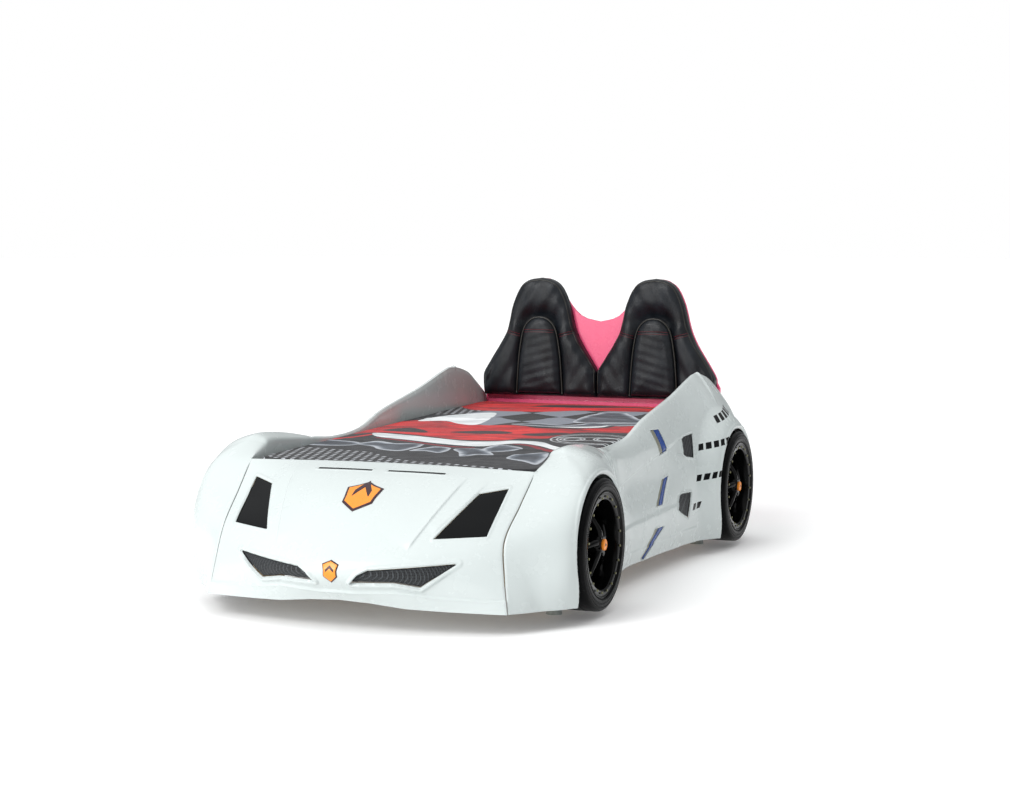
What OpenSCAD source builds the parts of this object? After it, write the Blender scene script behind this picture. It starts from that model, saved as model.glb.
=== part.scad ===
// Racing-car bed: moulded body shell over a board frame, slatted base, mattress and two seat backs.
// Frame: x across (0 on the centre plane), y from the nose (-) to the headboard (+), z up, floor at 0.

/* [Mattress] */
// Width of the mattress
mattress_w = 900; // [890:1:905]
// Length of the mattress
mattress_l = 1800; // [1780:1:1802]
// Height of the slat tops above the floor, where the mattress lies
mattress_z = 300; // [296:1:304]
// Mattress thickness at the foot end
mattress_foot_t = 140; // [120:1:142]
// Mattress thickness at the head end
mattress_head_t = 170; // [150:1:172]
// Thickness of the bedspread
spread_t = 6; // [4:0.5:6]

/* [Body shell] */
// Wall thickness of the moulded panels
skin_t = 5; // [3:0.5:6]
// Gap between neighbouring panels
seam = 2; // [1:0.5:3]
// Half width inside the tub, between the side walls
tub_x = 466; // [464:1:470]

/* [Wheels] */
// Outside radius of the tyres
tyre_r = 197; // [180:1:205]
// Width of a tyre
tyre_w = 130; // [100:1:134]
// Radius of the rim where the tyre sits on it
rim_r = 150; // [140:1:160]
// Gap between the tyre and the arch
arch_gap = 10; // [8:1:20]
// Spokes on a wheel
spokes = 5; // [4:1:8]
// Rivets round the lip of a wheel
rivets = 20; // [8:1:24]

/* [Frame] */
// Thickness of the frame boards
board_t = 18; // [15:1:19]
// Number of slats
slats_n = 14; // [10:1:16]
// Width of a slat
slat_w = 60; // [40:1:70]
// Radius of a levelling foot
foot_r = 25; // [20:1:30]
// Height of a levelling foot's base
foot_h = 22; // [18:1:26]

/* [Hidden] */

bed_l = 2330;
rear_y = bed_l / 2;
mattress_y0 = -747;
mattress_y1 = mattress_y0 + mattress_l;

// Frame places
rail_x = tub_x - 0.5 - board_t;
rail_y0 = -790;
rail_y1 = 1132;
rail_z0 = 175;
rail_z1 = mattress_z - 2;
ledge_z = mattress_z - 20;
ledge_w = 30;
slat_t = 12;
slat_inset = 2;
holder_l = 42;
bulkhead_y = rail_y0 + board_t;

// Wheel places
front_wheel_y = -630;
rear_wheel_y = 845;
wheel_y = [front_wheel_y, rear_wheel_y];
wheel_z = 216;
tyre_x0 = 505;
tyre_x1 = tyre_x0 + tyre_w;
arch_r = tyre_r + arch_gap;
liner_x = 497;
liner_t = 4;

// Legs stand under and beside the rails, level with the wheels
leg_w = 90;
leg_x1 = liner_x;
leg_x = 475;
leg_top = 238;
leg_bolt_dy = 30;
leg_bolt_z = 200;

// Clearances round screws and bolts
play = 0.1;
panel_play = 0.4;
bolt_r = 4;
wheel_bolt_r = 6;
screw_r = 2.5;
stem_r = 5;
stem_top = 110;

// Seats and headboard
seat_x = 228;
seat_front = 1073;
seat_back = 1131;
seat_pad = 9;
board_y0 = 1132;
board_y1 = 1148;

// ---- curves -------------------------------------------------------------------------

// Smooth curve through four neighbouring points, between b and c
function through(a, b, c, d, t) =
    0.5 * (2 * b + (c - a) * t + (2 * a - 5 * b + 4 * c - d) * t * t + (3 * b - a - 3 * c + d) * t * t * t);

// Smooth curve through all the points of P, u from 0 to 1
function curve(P, u) =
    let (n = len(P) - 1, s = max(0, min(1, u)) * n, i = min(floor(s), n - 1),
         a = i > 0 ? P[i - 1] : 2 * P[0] - P[1],
         d = i + 2 <= n ? P[i + 2] : 2 * P[n] - P[n - 1])
    through(a, P[i], P[i + 1], d, s - i);

function steps(n) = [for (i = [0:n]) i / n];
function mirrored(P) = [for (i = [len(P) - 1:-1:0]) [-P[i][0], P[i][1]]];

// ---- skins: a grid of points given a thickness -----------------------------------------

// Unit normal of a grid at one of its points, pointing into the body
function inward(G, i, j) =
    let (a = len(G) - 1, b = len(G[0]) - 1,
         n = cross(G[min(i + 1, a)][j] - G[max(i - 1, 0)][j], G[i][min(j + 1, b)] - G[i][max(j - 1, 0)]))
    n / norm(n);
function sunk(G, depth) =
    [for (i = [0:len(G) - 1]) for (j = [0:len(G[0]) - 1]) G[i][j] + depth * inward(G, i, j)];

// Two triangles for a square of the grid
function two(a, b, c, d) = [[a, b, c], [a, c, d]];

// Closed solid between two depths below the surface G
module skin(G, depth0, depth1) {
    nu = len(G);
    nv = len(G[0]);
    n = nu * nv;
    last = nv - 1;
    top = [for (i = [0:nu - 2]) for (j = [0:nv - 2]) each
        two(i * nv + j, i * nv + j + 1, (i + 1) * nv + j + 1, (i + 1) * nv + j)];
    bottom = [for (f = top) [n + f[2], n + f[1], n + f[0]]];
    ends = [for (j = [0:nv - 2]) each concat(
        two(j + 1, j, n + j, n + j + 1),
        two((nu - 1) * nv + j, (nu - 1) * nv + j + 1, n + (nu - 1) * nv + j + 1, n + (nu - 1) * nv + j))];
    rims = [for (i = [0:nu - 2]) each concat(
        two(i * nv, (i + 1) * nv, n + (i + 1) * nv, n + i * nv),
        two((i + 1) * nv + last, i * nv + last, n + i * nv + last, n + (i + 1) * nv + last))];
    polyhedron(concat(sunk(G, depth0), sunk(G, depth1)), concat(top, bottom, ends, rims), convexity = 6);
}

// ---- front panel surface ----------------------------------------------------------------

// Profile of the hood and nose on the centre plane, [y, z] from the hood's rear edge to the lip
nose_mid = [[-760, 448], [-870, 414], [-990, 350], [-1115, 247], [-1163, 175], [-1100, 93]];
// The same profile along the crease where the side panel begins, [x, y, z]
crease = [[466, -760, 440], [463, -795, 410], [457, -865, 350], [450, -965, 264], [462, -995, 165], [478, -1010, 63]];
plan_power = 1.7;

// Surface point: s from -1 to 1 across the hood, t from 0 at its rear edge to 1 at the lip
function front_point(s, t) =
    let (c = curve(nose_mid, t), e = curve(crease, t), w = pow(abs(s), plan_power))
    [e[0] * s, c[0] * (1 - w) + e[1] * w, c[1] * (1 - w) + e[2] * w];
front_s = 1 - 1.5 * seam / crease[0][0];
front_grid = [for (s = steps(26)) [for (t = steps(20)) front_point((2 * s - 1) * front_s, t)]];

// ---- side panel surface -----------------------------------------------------------------

// Sections of the right side panel from the crease to the tail. Each runs from the inner top
// edge over the crown, shoulder, belly and lower belly to the sill.
side_net = [
    crease,
    [[466, -710, 462], [492, -748, 440], [508, -815, 377], [520, -905, 283], [528, -930, 165], [523, -945, 61]],
    [[466, -665, 477], [508, -685, 480], [552, -730, 425], [590, -795, 305], [598, -825, 165], [580, -835, 59]],
    [[466, -625, 489], [522, -625, 501], [592, -640, 455], [618, -670, 315], [618, -680, 165], [598, -685, 59]],
    [[466, -470, 477], [520, -470, 489], [590, -490, 445], [612, -510, 315], [610, -520, 165], [590, -520, 63]],
    [[466, -310, 463], [508, -310, 461], [545, -330, 420], [565, -350, 315], [575, -350, 165], [560, -350, 67]],
    [[466, -160, 451], [488, -160, 447], [505, -160, 415], [520, -160, 315], [545, -155, 175], [532, -150, 70]],
    [[466, 20, 460], [485, 20, 458], [505, 30, 420], [520, 40, 315], [548, 40, 175], [533, 40, 67]],
    [[466, 200, 505], [486, 200, 503], [512, 200, 445], [530, 210, 315], [555, 210, 175], [538, 210, 65]],
    [[466, 510, 556], [486, 510, 554], [525, 490, 465], [556, 490, 325], [572, 490, 175], [560, 490, 59]],
    [[466, 710, 598], [486, 710, 597], [550, 690, 485], [588, 680, 345], [598, 670, 175], [590, 670, 53]],
    [[466, 810, 611], [486, 810, 609], [572, 810, 485], [612, 825, 345], [615, 830, 175], [600, 830, 53]],
    [[466, 950, 588], [488, 950, 586], [570, 960, 465], [608, 980, 345], [610, 990, 175], [595, 990, 55]],
    [[466, 1050, 542], [490, 1055, 540], [545, 1065, 455], [570, 1080, 335], [575, 1085, 175], [565, 1085, 60]],
    [[466, 1135, 497], [488, 1140, 494], [515, 1146, 440], [530, 1150, 325], [535, 1150, 175], [525, 1150, 65]]
];
side_stations = len(side_net) - 1;
inner_wall_z = 240;

// The arches flare out to the tyres' outer faces, over a longer way ahead of a wheel than behind it
flare_x = 622;
flare_ahead = 125;
flare_behind = 45;
// Share of the side over which the flare grows, from the seam with the front panel
flare_start = 0.13;
function ease(k) = let (c = max(0, min(1, k))) c * c * (3 - 2 * c);
function flared(p, amount, y) =
    let (r = max(1, norm([y - p[1], p[2] - wheel_z])), ahead = 0.5 + 0.5 * (y - p[1]) / r,
         reach = flare_behind + (flare_ahead - flare_behind) * ahead,
         k = ease(1 - (r - arch_r) / reach) * amount)
    [p[0] + k * max(0, flare_x - p[0]), p[1], p[2]];
function side_point(u, t) =
    let (p = curve([for (section = side_net) curve(section, t)], u),
         amount = min(1, 6 * t) * ease(u / flare_start))
    flared(flared(p, amount, front_wheel_y), amount, rear_wheel_y);
// Foot of the inner wall below the top edge; it fades out ahead of the tub
function inner_foot(u) =
    let (p = side_point(u, 0), k = min(1, u * side_stations))
    [p[0], p[1], p[2] * (1 - k) + inner_wall_z * k - 12 * (1 - k)];
side_u0 = 0.002 * seam;
side_grid = [for (k = steps(42)) let (u = max(side_u0, k)) concat(
    [inner_foot(u), (inner_foot(u) + side_point(u, 0)) / 2],
    [for (t = steps(15)) side_point(u, t)])];

// ---- outlines ----------------------------------------------------------------------------

// On the nose, [x, z]
headlight = [[336, 382], [410, 395], [402, 276], [265, 270]];
grille = [[56, 147], [110, 187], [345, 206], [250, 138], [180, 150]];
hood_badge_shape = [[0, 331], [48, 352], [58, 388], [0, 403], [-58, 388], [-48, 352]];
nose_badge_shape = [[0, 147], [22, 165], [26, 200], [0, 211], [-26, 200], [-22, 165]];
// On the hood, [x, y]
slot = [[26, -830], [206, -822], [206, -812], [26, -820]];
// On the side, [y, z]
upper_vent = [[470, 424], [548, 429], [525, 349], [462, 360]];
lower_vent = [[381, 240], [468, 236], [430, 155], [338, 186]];
inlays = [
    [[199, 472], [275, 469], [310, 395], [240, 386]],
    [[236, 304], [294, 311], [203, 226], [144, 226]],
    [[100, 158], [188, 156], [26, 70], [-12, 75]]
];
inlay_split = 0.45;

// Prism that cuts the nose: the outline is drawn in x and z and runs along y
module nose_prism(shape, grow) {
    translate([0, -700, 0]) rotate([90, 0, 0]) linear_extrude(520) offset(delta = grow) polygon(shape);
}
module hood_prism(shape, grow) {
    translate([0, 0, 300]) linear_extrude(200) offset(delta = grow) polygon(shape);
}
// Prism that cuts the side: the outline is drawn in y and z and runs along x
module side_prism(shape, grow) {
    translate([480, 0, 0]) rotate([90, 0, 90]) linear_extrude(200) offset(delta = grow) polygon(shape);
}
module left() {
    mirror([1, 0, 0]) children();
}
module both_sides() {
    children();
    left() children();
}

// ---- panels ------------------------------------------------------------------------------

module front_panel() {
    color("white") resize([0, 0, 0]) difference() {
        skin(front_grid, 0, skin_t);
        both_sides() {
            nose_prism(headlight, 0);
            nose_prism(grille, 0);
            hood_prism(slot, 0);
        }
    }
}

// Opening for a wheel: round above the axle, with straight sides down to the sill
arch_foot = 165;
module arch_cut(y) {
    translate([500, y, wheel_z]) rotate([90, 0, 90]) linear_extrude(200) {
        circle(r = arch_r, $fn = 72);
        polygon([[-arch_r, 0], [-arch_foot, -wheel_z], [arch_r, -wheel_z], [arch_r, 0]]);
    }
}
module right_side_panel() {
    color("white") resize([0, 0, 0]) difference() {
        skin(side_grid, 0, skin_t);
        for (y = wheel_y) arch_cut(y);
        side_prism(upper_vent, 0);
        side_prism(lower_vent, 0);
        for (shape = inlays) side_prism(shape, 0);
        for (p = screw_places) screw_hole(p, screw_r + panel_play);
    }
}

rear_half_w = 536;
rear_bow = 9;
module rear_panel() {
    n = 16;
    outer = [for (k = [-n:n]) [rear_half_w * k / n, rear_y - rear_bow * pow(abs(k / n), 3)]];
    inner = [for (k = [n:-1:-n]) [rear_half_w * k / n, rear_y - skin_t - rear_bow * pow(abs(k / n), 3)]];
    tail = [for (u = steps(10)) let (p = curve(side_net[side_stations], u)) [p[0], p[2]]];
    color("white") difference() {
        intersection() {
            linear_extrude(600) polygon(concat(outer, inner));
            translate([0, rear_y + 50, 0]) rotate([90, 0, 0]) linear_extrude(200)
                polygon(concat(tail, mirrored(tail)));
        }
        for (p = board_screw_places) board_screw_hole(p, screw_r + play);
    }
}

// Upper outline of a seat back: half width against height, from the base to the crown
seat_side = [[232, 495], [235, 530], [234, 575], [207, 625], [161, 699], [134, 761], [112, 848], [82, 911], [46, 938]];
function seat_outline(grow) =
    let (right = [for (u = steps(24)) curve(seat_side, u) + [grow, 0]])
    concat(right, [[0, 947 + grow]], mirrored(right));

module seat_back() {
    color("black") difference() {
        translate([0, seat_back, 0]) rotate([90, 0, 0]) linear_extrude(seat_back - seat_front)
            intersection() {
                translate([seat_x, 0]) polygon(seat_outline(0));
                translate([1, 0]) square([tub_x - 4, 1000]);
            }
        for (p = seat_bolt_places) seat_bolt_hole(p, screw_r + play);
    }
}

insert_w = 92;
insert_z0 = 520;
insert_z1 = 700;
module seat_insert() {
    color("dimgray") translate([seat_x, seat_front, 0]) rotate([90, 0, 0]) linear_extrude(seat_pad) {
        translate([-insert_w, insert_z0]) square([2 * insert_w, insert_z1 - insert_z0]);
        translate([0, insert_z1]) intersection() {
            circle(r = insert_w - 2, $fn = 64);
            translate([-insert_w, -1]) square([2 * insert_w, insert_w]);
        }
    }
}

// The board follows the edge of the seats, dips between them and has square ears below
board_edge = -1;
board_saddle = [[0, 782], [70, 800], [120, 850], [149, 905]];
ear_x = 474;
ear_z = 506;
module headboard() {
    crown = [for (u = steps(24)) curve(seat_side, u) + [seat_x + board_edge, 0]];
    outer = [for (p = crown) if (p[1] > 545 && p[0] < ear_x) p];
    inner = [for (u = steps(8)) curve(board_saddle, 1 - u)];
    half = concat([[tub_x - 2, 240], [tub_x - 2, ear_z], [ear_x, ear_z], [ear_x, 540]], outer,
        [[seat_x + 24, 943], [seat_x, 945], [seat_x - 24, 943]], inner);
    color("firebrick") difference() {
        translate([0, board_y1, 0]) rotate([90, 0, 0]) linear_extrude(board_y1 - board_y0)
            polygon(concat(half, [for (i = [len(half) - 2:-1:0]) [-half[i][0], half[i][1]]]));
        for (p = seat_bolt_places) seat_bolt_hole(p, screw_r + play);
        left() for (p = seat_bolt_places) seat_bolt_hole(p, screw_r + play);
        for (p = board_screw_places) board_screw_hole(p, screw_r + play);
    }
}

// ---- soft parts --------------------------------------------------------------------------

// Side view of the mattress, grown outward and cut off at the bottom
module mattress_prism(grow, w, z0) {
    head = mattress_z + mattress_head_t + grow;
    foot = mattress_z + mattress_foot_t + grow;
    rotate([90, 0, 90]) translate([0, 0, -w / 2]) linear_extrude(w)
        polygon([[mattress_y0 - grow, z0], [mattress_y1 + grow, z0], [mattress_y1 + grow, head],
                 [mattress_y0 - grow, foot]]);
}
module mattress() {
    color("whitesmoke") mattress_prism(0, mattress_w, mattress_z);
}
spread_drop = 360;
module bedspread() {
    color("lightsteelblue") difference() {
        mattress_prism(spread_t, mattress_w + 2 * spread_t, spread_drop);
        mattress_prism(0.3, mattress_w + 0.6, spread_drop - 10);
    }
}

// ---- frame -------------------------------------------------------------------------------

module right_side_rail() {
    color("burlywood") difference() {
        translate([rail_x, rail_y0, rail_z0]) cube([board_t, rail_y1 - rail_y0, rail_z1 - rail_z0]);
        for (p = screw_places) screw_hole(p, screw_r + play);
        for (y = wheel_y) leg_bolt_holes(y, play);
    }
}
bulkhead_z0 = 100;
module front_bulkhead() {
    // The top edge drops towards the fenders, under the hood
    half = [[rail_x, bulkhead_z0], [rail_x, 402], [250, 424]];
    color("burlywood") translate([0, bulkhead_y, 0]) rotate([90, 0, 0]) linear_extrude(board_t)
        polygon(concat(half, mirrored(half)));
}
module rear_bulkhead() {
    color("burlywood") translate([-rail_x, rail_y1 - board_t, bulkhead_z0])
        cube([2 * rail_x, board_t, 478 - bulkhead_z0]);
}
module ledge_strips() {
    color("tan") both_sides() translate([rail_x - ledge_w, bulkhead_y, ledge_z - 26])
        cube([ledge_w, rail_y1 - board_t - bulkhead_y, 26]);
}
slat_y0 = bulkhead_y + 60;
slat_pitch = (rail_y1 - board_t - 60 - slat_y0 - slat_w) / (slats_n - 1);
slat_end = rail_x - slat_inset;
module slats() {
    color("wheat") for (i = [0:slats_n - 1])
        translate([-slat_end, slat_y0 + i * slat_pitch, mattress_z - 4 - slat_t]) cube([2 * slat_end, slat_w, slat_t]);
}
// Plastic caps that hold the slat ends on the ledge strips
module slat_holders() {
    wall = 3;
    color("black") both_sides() for (i = [0:slats_n - 1])
        translate([slat_end - holder_l, slat_y0 + i * slat_pitch, ledge_z]) difference() {
            translate([0, -wall, 0]) cube([holder_l + 1, slat_w + 2 * wall, 19.5]);
            translate([-1, 0, 4]) cube([holder_l + 1, slat_w, slat_t]);
        }
}

// One leg: a post under the rail with an ear beside it
module leg_block(y) {
    difference() {
        translate([rail_x, y - leg_w / 2, foot_h]) {
            cube([leg_x1 - rail_x, leg_w, rail_z0 - foot_h]);
            translate([board_t, 0, 0]) cube([leg_x1 - rail_x - board_t, leg_w, leg_top - foot_h]);
        }
        leg_bolt_holes(y, play);
        translate([leg_x, y, 0]) cylinder(h = stem_top + 20, r = stem_r + play);
    }
}
module leg_blocks() {
    color("saddlebrown") both_sides() for (y = wheel_y) leg_block(y);
}

// Steel angles that tie the bulkheads to the rails
bracket = 40;
bracket_t = 3;
module corner_bracket(y, side) {
    translate([rail_x - bracket, y - (side > 0 ? 0 : bracket_t), 190]) cube([bracket, bracket_t, 50]);
    translate([rail_x - bracket_t, y - (side > 0 ? 0 : bracket), 190]) cube([bracket_t, bracket, 50]);
}
module corner_brackets() {
    color("silver") both_sides() {
        corner_bracket(bulkhead_y, 1);
        corner_bracket(rail_y1 - board_t, -1);
    }
}

// ---- feet --------------------------------------------------------------------------------

module foot(x, y) {
    color("ghostwhite") translate([x, y, 0]) difference() {
        cylinder(h = foot_h, r1 = foot_r, r2 = foot_r - 3);
        translate([0, 0, 8]) cylinder(h = foot_h, r = stem_r);
    }
}
module stem(x, y) {
    color("silver") translate([x, y, 8]) cylinder(h = stem_top - 8, r = stem_r);
}

// ---- wheels ------------------------------------------------------------------------------

// Places a part drawn with its axis on z, outer face up, on the right side of the bed
module on_axle(y) {
    translate([0, y, wheel_z]) rotate([0, 90, 0]) children();
}
function arc(c, r, a0, a1, n) = [for (k = [0:n]) c + r * [cos(a0 + (a1 - a0) * k / n), sin(a0 + (a1 - a0) * k / n)]];

shoulder_r = 9;
module tyre(y) {
    section = concat([[rim_r, tyre_x0], [tyre_r - 10, tyre_x0], [tyre_r, tyre_x0 + 10]],
        arc([tyre_r - shoulder_r, tyre_x1 - shoulder_r], shoulder_r, 0, 90, 5),
        [[rim_r + 14, tyre_x1], [rim_r + 8, tyre_x1 - 4], [rim_r, tyre_x1 - 6]]);
    color("black") on_axle(y) rotate_extrude($fn = 96) polygon(section);
}

rim_wall = 14;
dish_x = 598;
spoke_t = 14;
hub_r = 27;
hub_x = 628;
lip_x = tyre_x1 - 6;
rim_back = liner_x + liner_t;
module spoke() {
    linear_extrude(spoke_t) polygon([[20, -22], [80, -13], [rim_r - rim_wall + 2, -26],
        [rim_r - rim_wall + 2, 26], [80, 13], [20, 22]]);
}
module rim(y) {
    color([0.1, 0.1, 0.1]) on_axle(y) difference() {
        union() {
            rotate_extrude($fn = 96) polygon([[rim_r - rim_wall, rim_back], [rim_r, rim_back], [rim_r, lip_x],
                [rim_r - 4, lip_x + 3], [rim_r - rim_wall, lip_x + 3]]);
            translate([0, 0, rim_back]) cylinder(h = 8, r = rim_r - 1);
            translate([0, 0, rim_back]) cylinder(h = hub_x - rim_back, r = hub_r);
            for (k = [0:spokes - 1]) rotate([0, 0, 90 + k * 360 / spokes]) translate([0, 0, dish_x]) spoke();
        }
        translate([0, 0, rim_back - 1]) cylinder(h = 46, r = wheel_bolt_r + play);
    }
}
cap_r = 17;
module hub_cap(y) {
    color("orange") on_axle(y) rotate_extrude($fn = 64)
        polygon([[0, hub_x], [cap_r, hub_x], [cap_r, hub_x + 4], [cap_r - 6, hub_x + 8], [0, hub_x + 9]]);
}
rivet_r = 3.5;
module rim_rivets() {
    color("khaki") both_sides() for (y = wheel_y) on_axle(y) for (k = [0:rivets - 1])
        rotate([0, 0, (k + 0.5) * 360 / rivets]) translate([rim_r - 9, 0, lip_x + 3]) cylinder(h = 3, r = rivet_r);
}
// Cups that line the arches behind the wheels
liner_depth = 30;
liner_z0 = 62;
module wheel_liners() {
    color("black") both_sides() for (y = wheel_y) on_axle(y) difference() {
        translate([0, 0, liner_x]) cylinder(h = liner_depth, r = arch_r + liner_t);
        translate([0, 0, liner_x + liner_t]) cylinder(h = liner_depth, r = arch_r);
        translate([0, 0, liner_x - 1]) cylinder(h = liner_t + 2, r = wheel_bolt_r + play);
        translate([wheel_z - liner_z0, -300, 0]) cube([200, 600, 700]);
    }
}

// ---- trim --------------------------------------------------------------------------------

trim_t = 4;
trim_gap = 1.2;
overlap = 6;
badge_t = 3;
module right_headlight() {
    color([0.08, 0.08, 0.08]) resize([0, 0, 0]) intersection() {
        skin(front_grid, skin_t + trim_gap, skin_t + trim_t);
        nose_prism(headlight, overlap);
    }
}
module right_grille() {
    color([0.15, 0.15, 0.15]) resize([0, 0, 0]) intersection() {
        skin(front_grid, skin_t + trim_gap, skin_t + trim_t);
        nose_prism(grille, overlap);
    }
}
module hood_slots() {
    color("black") both_sides() resize([0, 0, 0]) intersection() {
        skin(front_grid, skin_t + trim_gap, skin_t + trim_t);
        hood_prism(slot, overlap);
    }
}
module badge(shape) {
    color("orange") resize([0, 0, 0]) intersection() {
        skin(front_grid, -badge_t, 0);
        nose_prism(shape, 0);
    }
}
module right_vents() {
    color("black") resize([0, 0, 0]) intersection() {
        skin(side_grid, skin_t + trim_gap, skin_t + trim_t);
        union() {
            side_prism(upper_vent, overlap);
            side_prism(lower_vent, overlap);
        }
    }
}
// Part of an inlay between two fractions of its width
function slice(q, a, b) = [q[0] + (q[1] - q[0]) * a, q[0] + (q[1] - q[0]) * b, q[3] + (q[2] - q[3]) * b,
    q[3] + (q[2] - q[3]) * a];
module inlay_set(a, b) {
    both_sides() resize([0, 0, 0]) intersection() {
        skin(side_grid, 1, skin_t);
        union() for (q = inlays) side_prism(slice(q, a, b), -0.2);
    }
}

// ---- fasteners ---------------------------------------------------------------------------

// Panel screws run outward through the rails into the inner wall of the side panels
screw_places = [for (y = [-560, -200, 160, 520, 1000]) [y, inner_wall_z + 7]];
module screw_hole(p, r) {
    translate([rail_x - 10, p[0], p[1]]) rotate([0, 90, 0]) cylinder(h = board_t + 30, r = r);
}
module panel_screws() {
    color("silver") both_sides() for (p = screw_places) translate([rail_x, p[0], p[1]]) rotate([0, 90, 0]) {
        translate([0, 0, -2]) cylinder(h = 2, r = 5);
        cylinder(h = board_t + skin_t + 3, r = screw_r);
    }
}
// Two bolts hold each leg to its rail, and one runs through both into the wheel's hub
module leg_bolt_holes(y, extra) {
    for (dy = [-leg_bolt_dy, leg_bolt_dy]) translate([rail_x - 5, y + dy, leg_bolt_z]) rotate([0, 90, 0])
        cylinder(h = 80, r = bolt_r + extra);
    translate([rail_x - 5, y, wheel_z]) rotate([0, 90, 0]) cylinder(h = 80, r = wheel_bolt_r + extra);
}
module leg_bolts() {
    color("silver") both_sides() for (y = wheel_y) for (dy = [-leg_bolt_dy, leg_bolt_dy])
        translate([rail_x, y + dy, leg_bolt_z]) rotate([0, 90, 0]) {
            translate([0, 0, -4]) cylinder(h = 4, r = 8);
            cylinder(h = leg_x1 - rail_x, r = bolt_r);
        }
}
wheel_bolt_end = 545;
module wheel_bolts() {
    color("silver") both_sides() for (y = wheel_y) translate([rail_x, y, wheel_z]) rotate([0, 90, 0]) {
        translate([0, 0, -6]) cylinder(h = 6, r = 11);
        cylinder(h = wheel_bolt_end - rail_x, r = wheel_bolt_r);
    }
}
// Bolts from behind the headboard into the seat backs
seat_bolt_places = [for (x = [150, 306]) for (z = [560, 640]) [x, z]];
module seat_bolt_hole(p, r) {
    translate([p[0], board_y1 + 1, p[1]]) rotate([90, 0, 0]) cylinder(h = 46, r = r);
}
module seat_bolts() {
    color("silver") both_sides() for (p = seat_bolt_places) translate([p[0], board_y1, p[1]]) rotate([90, 0, 0]) {
        translate([0, 0, -3]) cylinder(h = 3, r = 6);
        cylinder(h = 44, r = screw_r);
    }
}
// Screws from behind through the rear panel into the headboard
board_screw_places = [for (x = [-400, -140, 140, 400]) for (z = [300, 450]) [x, z]];
module board_screw_hole(p, r) {
    translate([p[0], rear_y + 5, p[1]]) rotate([90, 0, 0]) cylinder(h = 36, r = r);
}
module headboard_screws() {
    color("silver") for (p = board_screw_places)
        translate([p[0], rear_y - 0.2 - rear_bow * pow(abs(p[0]) / rear_half_w, 3), p[1]]) rotate([90, 0, 0])
            cylinder(h = 24, r = screw_r);
}

// ---- nodes -------------------------------------------------------------------------------

front_panel();
left() right_side_panel();  // left_side_panel
right_side_panel();
rear_panel();
headboard();
left() seat_back();  // left_seat_back
seat_back();  // right_seat_back
left() seat_insert();  // left_seat_insert
seat_insert();  // right_seat_insert
mattress();
bedspread();
left() right_side_rail();  // left_side_rail
right_side_rail();
front_bulkhead();
rear_bulkhead();
ledge_strips();
slats();
slat_holders();
leg_blocks();
corner_brackets();
foot(-leg_x, front_wheel_y);  // front_left_foot
foot(leg_x, front_wheel_y);  // front_right_foot
foot(-leg_x, rear_wheel_y);  // rear_left_foot
foot(leg_x, rear_wheel_y);  // rear_right_foot
stem(-leg_x, front_wheel_y);  // front_left_stem
stem(leg_x, front_wheel_y);  // front_right_stem
stem(-leg_x, rear_wheel_y);  // rear_left_stem
stem(leg_x, rear_wheel_y);  // rear_right_stem
left() tyre(front_wheel_y);  // front_left_tyre
tyre(front_wheel_y);  // front_right_tyre
left() tyre(rear_wheel_y);  // rear_left_tyre
tyre(rear_wheel_y);  // rear_right_tyre
left() rim(front_wheel_y);  // front_left_rim
rim(front_wheel_y);  // front_right_rim
left() rim(rear_wheel_y);  // rear_left_rim
rim(rear_wheel_y);  // rear_right_rim
left() hub_cap(front_wheel_y);  // front_left_hub_cap
hub_cap(front_wheel_y);  // front_right_hub_cap
left() hub_cap(rear_wheel_y);  // rear_left_hub_cap
hub_cap(rear_wheel_y);  // rear_right_hub_cap
rim_rivets();
wheel_liners();
wheel_bolts();
left() right_headlight();  // left_headlight
right_headlight();
left() right_grille();  // left_grille
right_grille();
hood_slots();
badge(hood_badge_shape);  // hood_badge
badge(nose_badge_shape);  // nose_badge
left() right_vents();  // left_vents
right_vents();
color("steelblue") inlay_set(inlay_split, 1);  // blue_inlays
color("darkkhaki") inlay_set(0, inlay_split);  // grey_inlays
leg_bolts();
panel_screws();
seat_bolts();
headboard_screws();
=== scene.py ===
import math

import bmesh
import bpy
import numpy as np
from mathutils import Euler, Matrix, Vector


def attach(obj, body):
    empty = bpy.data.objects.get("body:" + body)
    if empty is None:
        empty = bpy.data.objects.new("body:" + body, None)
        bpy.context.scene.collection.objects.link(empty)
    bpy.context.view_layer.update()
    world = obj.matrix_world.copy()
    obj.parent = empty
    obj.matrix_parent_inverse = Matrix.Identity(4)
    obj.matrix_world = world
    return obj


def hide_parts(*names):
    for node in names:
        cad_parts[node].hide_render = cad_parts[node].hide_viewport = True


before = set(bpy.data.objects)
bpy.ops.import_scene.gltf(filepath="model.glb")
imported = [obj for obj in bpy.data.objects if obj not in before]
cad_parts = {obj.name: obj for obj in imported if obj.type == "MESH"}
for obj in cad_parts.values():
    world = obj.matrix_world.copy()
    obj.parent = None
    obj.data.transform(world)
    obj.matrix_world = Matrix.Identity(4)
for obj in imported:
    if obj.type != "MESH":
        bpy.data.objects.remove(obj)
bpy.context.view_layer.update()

MM = 0.001

# ---- surfaces of the body shell, in millimetres, as the CAD part has them ----------------

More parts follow.
